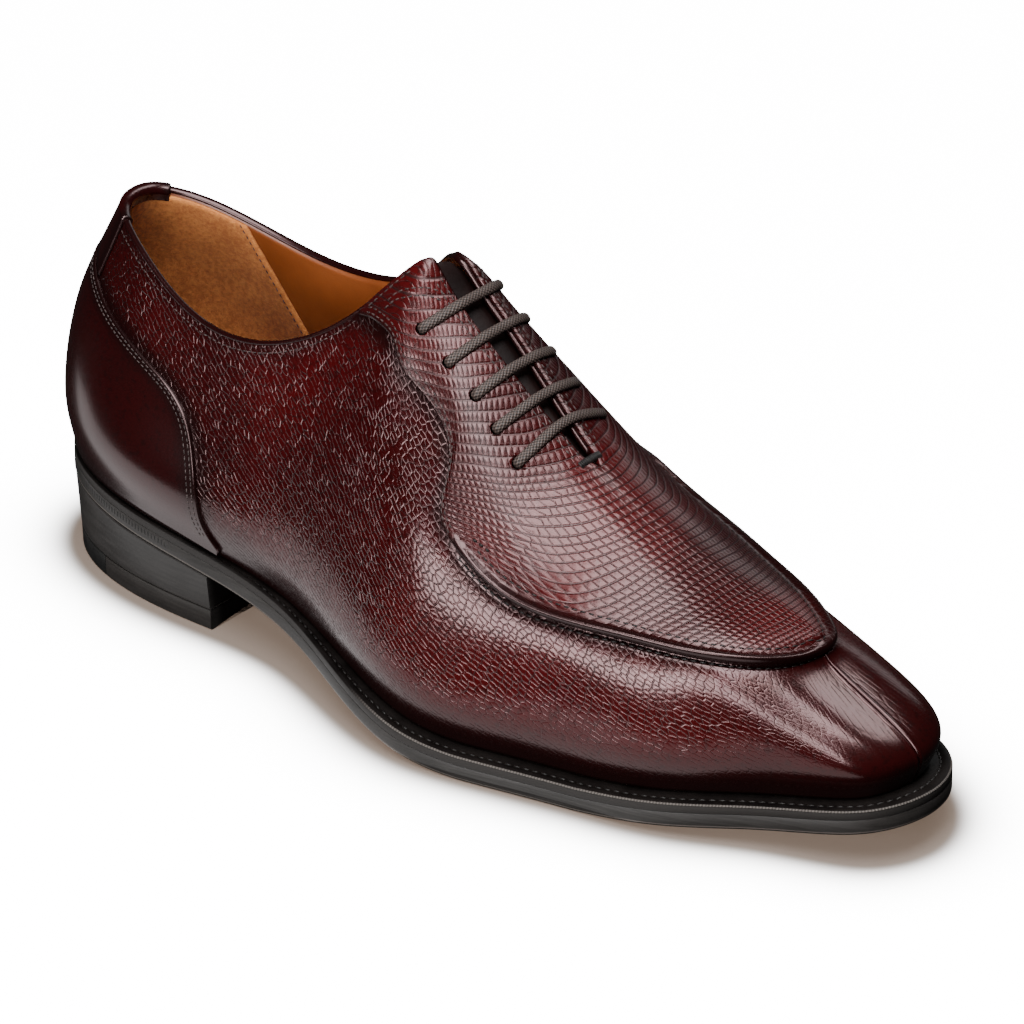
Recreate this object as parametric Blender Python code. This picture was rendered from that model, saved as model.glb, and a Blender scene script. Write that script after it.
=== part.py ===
"""Apron-front oxford, right shoe, modelled the way it is made.

The upper is a skin over a last.  A section of the last stands on each row of
the tables below: it starts on the feather line (where upper meets welt),
swells out, passes a girth point and ends at the top line.  Splines carry the
rows round the shoe, so that every leather piece is cut from one surface.
Lengths are in millimetres from the heel back, y is positive on the inner
(medial) side, and z is height above the floor.
"""

import bpy
import bmesh
import numpy as np

# Sole, from heel back to toe tip, one row for each station
SOLE_COLUMNS = ("x", "lateral", "medial", "welt_width", "sole_z")
SOLE = (
    (1.5, 0.0, 0.0, 1.5, 24.7),
    (9.0, 17.5, 17.5, 1.5, 24.2),
    (30.0, 30.0, 30.0, 1.5, 22.2),
    (65.0, 34.0, 33.0, 1.5, 18.7),
    (100.0, 35.0, 30.0, 2.5, 12.7),
    (130.0, 45.0, 30.0, 4.0, 7.2),
    (159.0, 51.5, 36.5, 5.5, 1.5),
    (186.0, 47.5, 45.5, 6.0, -0.3),
    (209.0, 42.2, 50.0, 6.0, -0.1),
    (236.0, 35.5, 46.5, 6.0, 2.2),
    (259.5, 24.5, 39.0, 6.0, 5.0),
    (277.0, 17.8, 31.5, 6.0, 7.4),
    (288.0, 11.6, 22.5, 6.0, 9.2),
    (295.0, -5.0, 5.0, 6.5, 10.4),
)

# Girth of the last at the same stations: swell above the feather, then the
# girth point, which is the apron line from the instep forward
GIRTH_COLUMNS = ("swell_lateral", "swell_medial", "swell_rise",
                 "x", "lateral", "medial", "z_lateral", "z_medial")
GIRTH = (
    (2.3, 2.3, 17.0, 5.0, 0.0, 0.0, 75.0, 75.0),
    (2.5, 2.5, 17.0, 9.5, 14.0, 14.0, 74.0, 74.0),
    (3.5, 3.5, 17.0, 30.0, 26.5, 26.5, 70.0, 70.0),
    (4.0, 4.0, 17.0, 65.0, 31.5, 30.0, 62.0, 63.0),
    (4.0, 2.0, 16.0, 99.0, 33.0, 28.5, 62.0, 64.0),
    (3.5, 2.0, 16.0, 128.0, 36.0, 30.0, 66.0, 68.0),
    (3.0, 2.5, 15.0, 154.0, 37.5, 33.0, 66.0, 68.0),
    (3.0, 3.0, 14.0, 180.0, 37.0, 36.0, 54.0, 55.0),
    (3.0, 3.0, 13.0, 202.0, 34.5, 33.5, 50.0, 49.5),
    (3.0, 3.0, 12.0, 224.0, 28.5, 26.5, 48.5, 48.5),
    (3.0, 3.0, 11.0, 243.0, 21.5, 19.5, 47.5, 47.5),
    (3.0, 3.0, 10.0, 254.0, 13.0, 14.0, 46.0, 46.0),
    (2.5, 2.5, 9.0, 258.5, 5.0, 10.5, 45.0, 45.0),
    (1.5, 1.5, 8.0, 260.0, -4.0, 4.0, 44.5, 44.5),
)

# Top line by its station round the sole: the collar, the throat corner, the
# edges of the slit, then the spine of the vamp; crown is 1 where a section
# closes over the top of the foot
TOP_COLUMNS = ("station", "x", "centre", "half", "z_lateral", "z_medial", "crown")
TOP = (
    (0.0, 18.0, 0.0, 0.0, 105.0, 105.0, 0.0),
    (19.0, 20.5, 0.0, 8.0, 104.0, 104.0, 0.0),
    (43.5, 34.0, 0.0, 16.5, 99.5, 100.0, 0.0),
    (78.7, 64.0, 0.0, 23.5, 89.0, 91.5, 0.0),
    (113.7, 97.0, 0.0, 21.0, 94.0, 96.0, 0.03),
    (125.0, 108.0, 0.0, 18.0, 101.0, 102.0, 0.10),
    (133.0, 116.0, 0.0, 15.0, 108.5, 109.0, 0.19),
    (139.0, 122.5, 0.0, 11.5, 116.0, 115.2, 0.27),
    (143.0, 127.3, 0.0, 7.9, 121.4, 118.6, 0.33),
    (146.0, 130.4, 0.0, 5.6, 123.6, 119.9, 0.38),
    (149.0, 132.7, 0.0, 5.0, 121.8, 119.8, 0.43),
    (153.0, 135.4, 0.0, 4.9, 118.3, 118.0, 0.49),
    (158.0, 139.4, 0.0, 4.85, 113.8, 113.8, 0.56),
    (166.0, 146.5, 0.0, 4.7, 107.4, 107.4, 0.66),
    (175.0, 154.7, 0.0, 4.2, 100.4, 100.4, 0.76),
    (191.5, 171.2, 0.0, 2.6, 86.4, 86.4, 0.91),
    (200.9, 180.6, 0.0, 1.7, 79.0, 79.0, 0.97),
    (223.9, 205.0, 0.0, 0.0, 67.0, 67.0, 1.0),
    (251.4, 228.0, 0.5, 0.0, 58.5, 58.5, 1.0),
    (276.7, 243.0, 2.0, 0.0, 54.0, 54.0, 1.0),
    (295.7, 250.0, 3.0, 0.0, 52.0, 52.0, 1.0),
    (308.6, 254.0, 3.5, 0.0, 50.8, 50.8, 1.0),
    (327.4, 256.0, 4.0, 0.0, 50.0, 50.0, 1.0),
)
THROAT = 146.0
SLIT_FOOT = 200.9
SLIT_END = 204.0
SLIT_FADE = 223.9

# Stack of the bottom and the leathers
GAP = 0.3
OUTSOLE_THICK = 4.6
WELT_THICK = 2.6
INSOLE_THICK = 4.0
UPPER_WALL = 1.8
OVERLAY_GAP = 0.35
OVERLAY_THICK = 1.1
COUNTER_GAP = 0.45
COUNTER_THICK = 0.9
BEAD_RISE = 1.5
BEAD_WIDTH = 3.4
TONGUE_GAP = 0.4
TONGUE_THICK = 1.5
SWELL_T = 0.20
GIRTH_T = 0.55

# Apron and facing panel: its lower edge as (station, height on the section),
# from the collar down the facing seam to where the ridge begins, then the ridge
SEAM_COLUMNS = ("station", "height")
SEAM = (
    (131.5, 0.985), (135.4, 0.945), (141.5, 0.87), (149.3, 0.80), (159.6, 0.78), (169.0, 0.763),
    (174.7, 0.73), (177.4, 0.69), (179.6, 0.60), (188.0, 0.56),
)
RIDGE = (
    (188.0, 0.56), (200.0, 0.55), (224.0, 0.555), (246.0, 0.565), (262.0, 0.565), (284.0, 0.58),
    (297.0, 0.595), (308.0, 0.615), (319.0, 0.645), (327.4, 0.65),
)

# Heel counter: its upper edge from the waist to the back
COUNTER_EDGE = (
    (91.5, 0.035), (88.4, 0.09), (86.7, 0.19), (85.4, 0.32), (82.7, 0.455),
    (78.3, 0.575), (72.0, 0.645), (61.0, 0.681), (45.6, 0.70), (29.7, 0.74),
    (14.0, 0.785), (0.0, 0.80),
)
TAB_LATERAL = 30.0
TAB_MEDIAL = 24.0
TAB_ABOVE = 0.022
TAB_INSIDE = 0.955

# Heel
HEEL_BREAST = 73.0
HEEL_HOLLOW = 2.5
HEEL_TAPER = 1.6
LIFT_THICK = 6.4
RUBBER_END = 30.0
RUBBER_BOW = 5.0

# Laces
BAR_COLUMNS = ("station", "hole_height")
BARS = ((153.8, 0.877), (164.9, 0.870), (175.1, 0.863), (183.3, 0.847), (191.5, 0.830))
HOLE_DIAMETER = 3.4
LACE_DIAMETER = 2.7

COLOURS = {
    "upper": ((0.085, 0.012, 0.014), 0.35), "apron": ((0.10, 0.014, 0.016), 0.33),
    "counter": ((0.06, 0.010, 0.011), 0.28), "back_tab": ((0.05, 0.009, 0.010), 0.30),
    "tongue": ((0.09, 0.013, 0.015), 0.45), "insole": ((0.42, 0.19, 0.06), 0.6),
    "welt": ((0.028, 0.018, 0.016), 0.45), "outsole": ((0.045, 0.035, 0.032), 0.5),
    "heel_stack": ((0.022, 0.019, 0.019), 0.4), "heel_lift_leather": ((0.05, 0.04, 0.036), 0.5),
    "heel_lift_rubber": ((0.012, 0.012, 0.012), 0.7), "lace_bar": ((0.055, 0.043, 0.040), 0.6),
}


def columns(rows, names):
    """A table's rows as one array for each column name."""
    return dict(zip(names, np.array(rows, float).T))


SOLE_T = columns(SOLE, SOLE_COLUMNS)
GIRTH_TABLE = columns(GIRTH, GIRTH_COLUMNS)
TOP_T = columns(TOP, TOP_COLUMNS)
HALF_WIDTH = 0.5 * (SOLE_T["lateral"] + SOLE_T["medial"])
STATION = np.concatenate([[0.0], np.cumsum(np.hypot(np.diff(SOLE_T["x"]), np.diff(HALF_WIDTH)))])
TOE = STATION[-1]
ROUND = 2.0 * TOE


# Lines of the upper's mesh, closer round the heel, the throat and the toe
UPPER_STATIONS = np.concatenate([
    np.linspace(0.0, 43.5, 6), np.linspace(43.5, 132.0, 10)[1:], np.linspace(132.0, 158.0, 7)[1:],
    np.linspace(158.0, SLIT_FOOT, 6)[1:], [SLIT_END], np.linspace(SLIT_END, 295.7, 10)[1:],
    np.linspace(295.7, TOE, 4)[1:]])
UPPER_HEIGHTS = np.array([0.0, 0.09, 0.20, 0.31, 0.43, 0.55, 0.64, 0.73, 0.81, 0.88, 0.94, 1.0])


def spline(knots, values, at):
    """Natural cubic spline through the knots, evaluated at the given places."""
    knots, values, at = (np.asarray(v, float) for v in (knots, values, at))
    step = np.diff(knots)
    count = len(knots)
    matrix = np.eye(count)
    right = np.zeros(count)
    inner = np.arange(1, count - 1)
    matrix[inner, inner - 1] = step[:-1]
    matrix[inner, inner] = 2.0 * (step[:-1] + step[1:])
    matrix[inner, inner + 1] = step[1:]
    right[inner] = 6.0 * np.diff(np.diff(values) / step)
    bend = np.linalg.solve(matrix, right)
    i = np.clip(np.searchsorted(knots, at) - 1, 0, count - 2)
    before, after, width = at - knots[i], knots[i + 1] - at, step[i]
    return ((bend[i] * after ** 3 + bend[i + 1] * before ** 3) / (6.0 * width)
            + (values[i] / width - bend[i] * width / 6.0) * after
            + (values[i + 1] / width - bend[i + 1] * width / 6.0) * before)


def round_loop(lateral, medial, place):
    """A column carried round the shoe: heel, lateral side, toe, medial side."""
    knots = np.concatenate([STATION, ROUND - STATION[-2:0:-1]])
    values = np.concatenate([lateral, medial[-2:0:-1]])
    wrap = 4
    knots = np.concatenate([knots[-wrap:] - ROUND, knots, knots[:wrap] + ROUND])
    values = np.concatenate([values[-wrap:], values, values[:wrap]])
    return spline(knots, values, np.mod(place, ROUND))


def along_top(lateral, medial, place):
    """A top-line column as one curve from the toe round the heel and back to the toe."""
    place = np.mod(place, ROUND)
    signed = np.where(place > TOE, place - ROUND, place)
    knots = np.concatenate([-TOP_T["station"][:0:-1], TOP_T["station"]])
    values = np.concatenate([medial[:0:-1], lateral])
    return spline(knots, values, signed)


def slit_half(place):
    """Signed distance of the top line from the middle: collar, slit, then nothing."""
    signed = np.mod(place + TOE, ROUND) - TOE
    half = np.abs(along_top(-TOP_T["half"], TOP_T["half"], place))
    return -np.sign(signed) * np.where(np.abs(signed) < SLIT_FADE, half, 0.0)


def sole_outline(place):
    """Plan of the sole's edge, and its outward normal."""
    def at(p):
        return np.stack([round_loop(SOLE_T["x"], SOLE_T["x"], p),
                         round_loop(-SOLE_T["lateral"], SOLE_T["medial"], p)], -1)
    tangent = at(place + 0.5) - at(place - 0.5)
    normal = np.stack([tangent[:, 1], -tangent[:, 0]], -1)
    normal /= np.linalg.norm(normal, axis=1, keepdims=True)
    return at(place), normal


def sole_height(place):
    """Underside of the outsole: heel pitch, waist, a flat tread and toe spring."""
    return np.maximum(round_loop(SOLE_T["sole_z"], SOLE_T["sole_z"], place), 0.0)


FEATHER_RISE = OUTSOLE_THICK + WELT_THICK + 2.0 * GAP


def section_points(place):
    """Feather, swell, girth and top points of the sections at these places."""
    edge, normal = sole_outline(place)
    width = round_loop(SOLE_T["welt_width"], SOLE_T["welt_width"], place)[:, None]
    height = sole_height(place) + FEATHER_RISE
    feather = np.column_stack([edge - normal * width, height])
    swell_out = round_loop(GIRTH_TABLE["swell_lateral"], GIRTH_TABLE["swell_medial"], place)[:, None]
    rise = round_loop(GIRTH_TABLE["swell_rise"], GIRTH_TABLE["swell_rise"], place)
    swell = np.column_stack([feather[:, :2] + normal * swell_out, height + rise])
    girth = np.column_stack([
        round_loop(GIRTH_TABLE["x"], GIRTH_TABLE["x"], place),
        round_loop(-GIRTH_TABLE["lateral"], GIRTH_TABLE["medial"], place),
        round_loop(GIRTH_TABLE["z_lateral"], GIRTH_TABLE["z_medial"], place)])
    top = np.column_stack([
        along_top(TOP_T["x"], TOP_T["x"], place),
        along_top(TOP_T["centre"], TOP_T["centre"], place) + slit_half(place),
        along_top(TOP_T["z_lateral"], TOP_T["z_medial"], place)])
    crown = np.clip(along_top(TOP_T["crown"], TOP_T["crown"], place), 0.0, 1.0)
    return feather, swell, girth, top, crown


def last_surface(place, height):
    """Points of the upper's outer face.

    Height runs from 0 at the feather through SWELL_T and GIRTH_T to 1 at the
    top line; a centripetal Catmull-Rom curve joins the four points, and its
    last tangent lies level where the section closes over the foot.
    """
    place, height = np.broadcast_arrays(np.asarray(place, float), np.asarray(height, float))
    shape = place.shape
    place, height = place.ravel(), height.ravel()
    feather, swell, girth, top, crown = section_points(place)
    reach = top - girth
    beyond = top + reach * np.column_stack([np.ones((len(crown), 2)), 1.0 - 2.0 * crown])
    chain = np.stack([2.0 * feather - swell, feather, swell, girth, top, beyond])
    span = np.where(height < SWELL_T, 0, np.where(height < GIRTH_T, 1, 2))
    low = np.array([0.0, SWELL_T, GIRTH_T])[span]
    high = np.array([SWELL_T, GIRTH_T, 1.0])[span]
    u = ((height - low) / (high - low))[:, None]
    each = np.arange(len(place))
    p0, p1, p2, p3 = (chain[span + k, each] for k in range(4))
    d0, d1, d2 = (np.maximum(np.linalg.norm(b - a, axis=1, keepdims=True), 1e-9) ** 0.5
                  for a, b in ((p0, p1), (p1, p2), (p2, p3)))
    m1 = ((p1 - p0) / d0 - (p2 - p0) / (d0 + d1) + (p2 - p1) / d1) * d1
    m2 = ((p2 - p1) / d1 - (p3 - p1) / (d1 + d2) + (p3 - p2) / d2) * d1
    point = ((2 * u ** 3 - 3 * u ** 2 + 1) * p1 + (u ** 3 - 2 * u ** 2 + u) * m1
             + (3 * u ** 2 - 2 * u ** 3) * p2 + (u ** 3 - u ** 2) * m2)
    return point.reshape(shape + (3,))


def last_normal(place, height):
    """Outward unit normal of the last's surface, from small steps both ways."""
    place, height = np.broadcast_arrays(np.asarray(place, float), np.asarray(height, float))
    step_p, step_h = 0.4, 0.004
    height = np.clip(height, step_h, 0.98)
    along = last_surface(place + step_p, height) - last_surface(place - step_p, height)
    up = last_surface(place, height + step_h) - last_surface(place, height - step_h)
    normal = np.cross(along, up)
    return normal / np.linalg.norm(normal, axis=-1, keepdims=True)


def offset(place, height, distance):
    """Points of the last's surface moved along its normal."""
    return last_surface(place, height) + last_normal(place, height) * np.asarray(distance)[..., None]


def grid_solid(outer, inner, wrap=False, open_top=None):
    """A closed skin between two point grids of the same shape.

    Columns run along the first index and rows along the second.  open_top
    marks the columns whose last row is an open edge; elsewhere that row is a
    weld with the column of the other side.
    """
    count, rows = outer.shape[:2]
    verts = np.concatenate([outer.reshape(-1, 3), inner.reshape(-1, 3)])
    shift = count * rows
    if open_top is None:
        open_top = np.ones(count, bool)
    faces = []
    last = count if wrap else count - 1
    for i in range(last):
        j = (i + 1) % count
        for k in range(rows - 1):
            a, b, c, d = i * rows + k, j * rows + k, j * rows + k + 1, i * rows + k + 1
            faces.append((a, b, c, d))
            faces.append((a + shift, d + shift, c + shift, b + shift))
        a, b = i * rows, j * rows
        faces.append((a, a + shift, b + shift, b))
        if open_top[i] or open_top[j]:
            a, b = i * rows + rows - 1, j * rows + rows - 1
            faces.append((a, b, b + shift, a + shift))
    if not wrap:
        for k in range(rows - 1):
            a, b = k, k + 1
            faces.append((a, b, b + shift, a + shift))
            a, b = (count - 1) * rows + k, (count - 1) * rows + k + 1
            faces.append((a, a + shift, b + shift, b))
    return verts, faces


def both_sides(stations):
    """Places round the shoe for stations that run from heel back to toe."""
    stations = np.asarray(stations, float)
    return np.concatenate([stations, ROUND - stations[-2:0:-1]])


def weld_top(grid, stations_of_top):
    """Top-row points of the two sides made one wherever the slit is closed."""
    count = len(stations_of_top)
    for i in range(count):
        j = (-i) % count
        if i < j and stations_of_top[i] >= SLIT_END - 1e-6:
            middle = 0.5 * (grid[i, -1] + grid[j, -1])
            grid[i, -1] = grid[j, -1] = middle
    return grid


def make_upper():
    """The hollow upper: open under the foot, at the collar and down the slit."""
    places = both_sides(UPPER_STATIONS)
    heights = UPPER_HEIGHTS
    place, height = np.meshgrid(places, heights, indexing="ij")
    outer = last_surface(place, height)
    normal = last_normal(place, height)
    normal[:, 0, 2] = 0.0
    normal[:, 0] /= np.linalg.norm(normal[:, 0], axis=-1, keepdims=True)
    station = np.where(places > TOE, ROUND - places, places)
    inner = outer - normal * UPPER_WALL
    weld_top(outer, station)
    weld_top(inner, station)
    return grid_solid(outer, inner, wrap=True, open_top=station < SLIT_END - 1e-6)


def panel_edge(count):
    """Stations, edge heights and top stations of the apron panel's columns on one side."""
    seam = columns(SEAM, SEAM_COLUMNS)
    way = np.concatenate([[0.0], np.cumsum(np.hypot(np.diff(seam["station"]),
                                                    60.0 * np.diff(seam["height"])))])
    at = np.linspace(0.0, way[-1], count)
    edge_station = np.interp(at, way, seam["station"])
    edge_height = np.interp(at, way, seam["height"])
    share = at / way[-1]
    top_station = np.interp(share, [0.0, 0.32, 1.0], [132.5, THROAT + 2.0, seam["station"][-1]])
    return edge_station, edge_height, top_station


def make_apron():
    """Apron and facings in one panel, laid over the upper, with the raised apron edge."""
    edge_station, edge_height, top_station = panel_edge(15)
    front = np.concatenate([[194.0, SLIT_FOOT, SLIT_END], np.linspace(SLIT_END, 295.7, 10)[1:],
                            np.linspace(295.7, TOE, 5)[1:]])
    low_station = np.concatenate([edge_station, front])
    ridge_line = columns(RIDGE, SEAM_COLUMNS)
    low_height = np.concatenate([edge_height, np.interp(front, ridge_line["station"], ridge_line["height"])])
    high_station = np.concatenate([top_station, front])
    ridge = np.interp(low_station, [176.0, 190.0], [0.0, 1.0])
    near = np.array([0.0, 1.2, 2.4, BEAD_WIDTH])
    far = np.array([0.18, 0.36, 0.54, 0.70, 0.85, 1.0])

    def side(sign):
        low, high = (s if sign < 0 else ROUND - s for s in (low_station, high_station))
        length = np.linalg.norm(last_surface(low, low_height) - last_surface(high, np.ones(len(high))), axis=1)
        start = np.minimum(near[None] / length[:, None], np.linspace(0, 0.6, len(near))[None])
        share = np.concatenate([start, start[:, -1:] + (1 - start[:, -1:]) * far[None]], axis=1)
        place = low[:, None] + (high - low)[:, None] * share
        height = low_height[:, None] + (1 - low_height)[:, None] * share
        distance = share * length[:, None]
        bead = BEAD_RISE * ridge[:, None] * np.cos(0.5 * np.pi * np.clip(
            np.abs(distance - 0.35 * BEAD_WIDTH) / (0.75 * BEAD_WIDTH), 0, 1)) ** 2
        return (offset(place, height, np.full(place.shape, OVERLAY_GAP)),
                offset(place, height, OVERLAY_GAP + OVERLAY_THICK + bead))

    inner_l, outer_l = side(-1)
    inner_m, outer_m = side(1)
    closed = high_station >= SLIT_END - 1e-6
    for a, b in ((inner_l, inner_m), (outer_l, outer_m)):
        middle = 0.5 * (a[closed, -1] + b[closed, -1])
        a[closed, -1] = b[closed, -1] = middle
    outer = np.concatenate([outer_l, outer_m[-2::-1]])
    inner = np.concatenate([inner_l, inner_m[-2::-1]])
    open_top = np.concatenate([~closed, ~closed[-2::-1]])
    return grid_solid(outer, inner, open_top=open_top)


def make_counter():
    """The heel counter laid round the back of the upper, cut to its swept edge."""
    edge = columns(COUNTER_EDGE, SEAM_COLUMNS)
    way = np.concatenate([[0.0], np.cumsum(np.hypot(np.diff(edge["station"]), 60.0 * np.diff(edge["height"])))])
    at = np.linspace(0.0, way[-1], 17)
    station = np.interp(at, way, edge["station"])
    high = np.interp(at, way, edge["height"])
    base_station = np.interp(at / way[-1], [0.0, 0.3, 1.0], [90.5, 76.0, 0.0])
    share = np.array([0.0, 0.12, 0.24, 0.36, 0.5, 0.65, 0.82, 1.0])
    low = 0.02
    place = base_station[:, None] + (station - base_station)[:, None] * share
    height = low + (high - low)[:, None] * share
    place = np.concatenate([place, -place[-2::-1]]) % ROUND
    height = np.concatenate([height, height[-2::-1]])
    inner = offset(place, height, np.full(place.shape, COUNTER_GAP))
    outer = offset(place, height, np.full(place.shape, COUNTER_GAP + COUNTER_THICK))
    return grid_solid(outer, inner)


def make_back_tab():
    """The strap round the back seam, from the counter's edge over the collar to the inside."""
    lateral = UPPER_STATIONS[UPPER_STATIONS < TAB_LATERAL - 1.0]
    medial = UPPER_STATIONS[(UPPER_STATIONS > 0.0) & (UPPER_STATIONS < TAB_MEDIAL - 1.0)]
    places = np.concatenate([[-TAB_MEDIAL], -medial[::-1], lateral, [TAB_LATERAL]])
    edge = columns(COUNTER_EDGE, SEAM_COLUMNS)
    foot = np.interp(np.abs(places), edge["station"][::-1], edge["height"][::-1]) + TAB_ABOVE
    height_o = foot[:, None] + (1.0 - foot)[:, None] * np.linspace(0.0, 1.0, 6)
    place_o = np.broadcast_to(places[:, None], height_o.shape)
    inside = np.linspace(1.0, TAB_INSIDE, 3)
    place_i, height_i = np.meshgrid(places, inside, indexing="ij")
    near, far = OVERLAY_GAP, OVERLAY_GAP + COUNTER_THICK

    def face(gap):
        front = offset(place_o % ROUND, height_o, np.full(place_o.shape, gap))
        back = offset(place_i % ROUND, height_i, np.full(place_i.shape, -UPPER_WALL - gap))
        front[:, -1, 2] += gap
        back[:, 0, 2] += gap
        return np.concatenate([front, back], axis=1)

    return grid_solid(face(far), face(near))


def make_tongue():
    """The tongue: a strip under the facings and across the slit."""
    stations = UPPER_STATIONS[(UPPER_STATIONS > THROAT) & (UPPER_STATIONS < SLIT_END + 10.0)]
    heights = UPPER_HEIGHTS[UPPER_HEIGHTS > 0.7]
    place, height = np.meshgrid(stations, heights, indexing="ij")
    medial = ROUND - place
    near, far = -UPPER_WALL - TONGUE_GAP, -UPPER_WALL - TONGUE_GAP - TONGUE_THICK

    def face(depth):
        left = offset(place, height, np.full(place.shape, depth))
        right = offset(medial, height, np.full(place.shape, depth))
        left[:, -1, 1] = np.minimum(left[:, -1, 1], -0.9)
        right[:, -1, 1] = np.maximum(right[:, -1, 1], 0.9)
        return np.concatenate([left, right[:, ::-1]], axis=1)

    return grid_solid(face(near), face(far))


def ladder(stations, inset, low, high, chamfer=0.0):
    """A flat-bottomed slab with the sole's outline: rungs join the two sides."""
    stations = np.asarray(stations, float)

    def row(extra, z):
        grid = []
        for places in (stations, ROUND - stations):
            edge, normal = sole_outline(places)
            grid.append(np.column_stack([edge - normal * (inset(places) + extra)[:, None], z(places)]))
        left, right = grid
        middle = 0.5 * (left + right)
        return np.stack([left, middle, right], axis=1)

    zero = np.zeros(len(stations))
    rings = [row(zero + chamfer, low), row(zero, lambda p: low(p) + chamfer), row(zero, high)]
    if chamfer == 0.0:
        rings = [rings[0], rings[2]]
    verts = np.concatenate([r.reshape(-1, 3) for r in rings])
    count, across = len(stations), 3
    layer = count * across
    faces = []
    for i in range(count - 1):
        for k in range(across - 1):
            a, b, c, d = i * across + k, (i + 1) * across + k, (i + 1) * across + k + 1, i * across + k + 1
            faces.append((a, b, c, d))
            top = layer * (len(rings) - 1)
            faces.append((a + top, d + top, c + top, b + top))
        for level in range(len(rings) - 1):
            base, above = level * layer, (level + 1) * layer
            a, b = i * across, (i + 1) * across
            faces.append((a + base, a + above, b + above, b + base))
            a, b = a + across - 1, b + across - 1
            faces.append((a + base, b + base, b + above, a + above))
    return verts, faces, count, across, len(rings)


def close_ends(verts, faces, count, across, levels):
    """Side walls at the first and last rung of a ladder that does not run to a point."""
    layer = count * across
    for level in range(levels - 1):
        base, above = level * layer, (level + 1) * layer
        for k in range(across - 1):
            faces.append((k + base, k + 1 + base, k + 1 + above, k + above))
            m = (count - 1) * across + k
            faces.append((m + base, m + above, m + 1 + above, m + 1 + base))
    return verts, faces


def sole_stations():
    """Rungs of the bottom pieces, close together round heel and toe."""
    return np.concatenate([
        [0.0, 2.0, 4.5, 8.0, 12.0, 17.0, 23.0, 30.0], np.linspace(38.0, STATION[10], 28),
        np.linspace(STATION[10], TOE - 1.5, 11)[1:], [TOE]])


def make_outsole():
    """The leather outsole: full outline, arch, level tread and toe spring."""
    return ladder(sole_stations(), lambda p: np.zeros(len(p)), sole_height,
                  lambda p: sole_height(p) + OUTSOLE_THICK, chamfer=0.5)[:2]


def make_insole():
    """The insole with its filler, inside the welt and the upper."""
    def inset(p):
        return round_loop(SOLE_T["welt_width"], SOLE_T["welt_width"], p) + UPPER_WALL + 1.2
    stations = sole_stations()[2:-2]
    base = OUTSOLE_THICK + GAP
    slab = ladder(stations, inset, lambda p: sole_height(p) + base,
                  lambda p: sole_height(p) + base + INSOLE_THICK)
    return close_ends(*slab)


def make_welt():
    """The welt, a strip round the whole edge between outsole and upper."""
    places = both_sides(sole_stations())
    edge, normal = sole_outline(places)
    width = (round_loop(SOLE_T["welt_width"], SOLE_T["welt_width"], places) + UPPER_WALL + 0.8)[:, None]
    low = sole_height(places) + OUTSOLE_THICK + GAP
    profile = ((0.0, 0.0), (0.0, WELT_THICK - 0.6), (0.5, WELT_THICK), (1.0, WELT_THICK), (1.0, 0.0))
    rows = []
    for share, rise in profile:
        inward = width * share if share == 1.0 else share
        rows.append(np.column_stack([edge - normal * inward, low + rise]))
    ring = np.stack(rows, axis=1)
    count, across = ring.shape[:2]
    faces = []
    for i in range(count):
        j = (i + 1) % count
        for k in range(across):
            m = (k + 1) % across
            faces.append((i * across + k, j * across + k, j * across + m, i * across + m))
    return ring.reshape(-1, 3), faces


def heel_outline(front, bow, inset, start=0.0):
    """Plan of a heel piece from the back to a bowed front line, lateral side first."""
    rim = np.concatenate([np.linspace(0.0, 30.0, 9), np.linspace(38.0, 85.0, 12)])
    edge_l, normal_l = sole_outline(rim)
    edge_m, normal_m = sole_outline(ROUND - rim)
    left = edge_l - normal_l * inset
    right = edge_m - normal_m * inset

    def cut(side, x_from, x_to):
        keep = side[(side[:, 0] > x_from + 0.5) & (side[:, 0] < x_to - 0.5)]
        ends = [np.array([[x, np.interp(x, side[:, 0], side[:, 1])]]) for x in (x_from, x_to) if x > 2.0]
        return np.concatenate([ends[0], keep, ends[1]]) if len(ends) == 2 else np.concatenate([keep, ends[0]])

    left, right = cut(left, start, front), cut(right, start, front)
    across = np.linspace(0.0, 1.0, 7)[1:-1]
    bend = np.column_stack([-bow * np.sin(np.pi * across), np.zeros(5)])
    breast = left[-1] + (right[-1] - left[-1]) * across[:, None] + bend
    outline = [left, breast, right[::-1]]
    if start > 2.0:
        bend_back = np.column_stack([RUBBER_BOW * np.sin(np.pi * across), np.zeros(5)])
        outline.append(right[0] + (left[0] - right[0]) * across[:, None] + bend_back)
    return np.concatenate(outline)


def prism(low_plan, high_plan, low_z, high_z):
    """A closed block between two plans of the same count of points."""
    count = len(low_plan)
    verts = np.concatenate([np.column_stack([low_plan, low_z]), np.column_stack([high_plan, high_z])])
    faces = [tuple(range(count))[::-1], tuple(range(count, 2 * count))]
    for i in range(count):
        j = (i + 1) % count
        faces.append((i, j, j + count, i + count))
    return verts, faces


def heel_seat(plan):
    """Underside of the outsole above these plan points, in the heel."""
    table = sole_stations()
    edge, _ = sole_outline(table)
    return np.interp(plan[:, 0], edge[:, 0], sole_height(table))


def make_heel_stack():
    """The stacked heel block under the seat, tapered a little to the floor."""
    share = LIFT_THICK / SOLE_T["sole_z"][0]
    low = heel_outline(HEEL_BREAST, HEEL_HOLLOW, HEEL_TAPER * (1.0 - share) + 0.2)
    high = heel_outline(HEEL_BREAST, HEEL_HOLLOW, 0.2)
    return prism(low, high, np.full(len(low), LIFT_THICK + GAP), heel_seat(high) - GAP)


def make_lift(start, front, bow):
    """One piece of the heel's wearing layer, flat on the floor."""
    low = heel_outline(front, bow, HEEL_TAPER + 0.2, start)
    high = heel_outline(front, bow, HEEL_TAPER * 0.75 + 0.2, start)
    count = len(low)
    return prism(low, high, np.zeros(count), np.full(count, LIFT_THICK))


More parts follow.
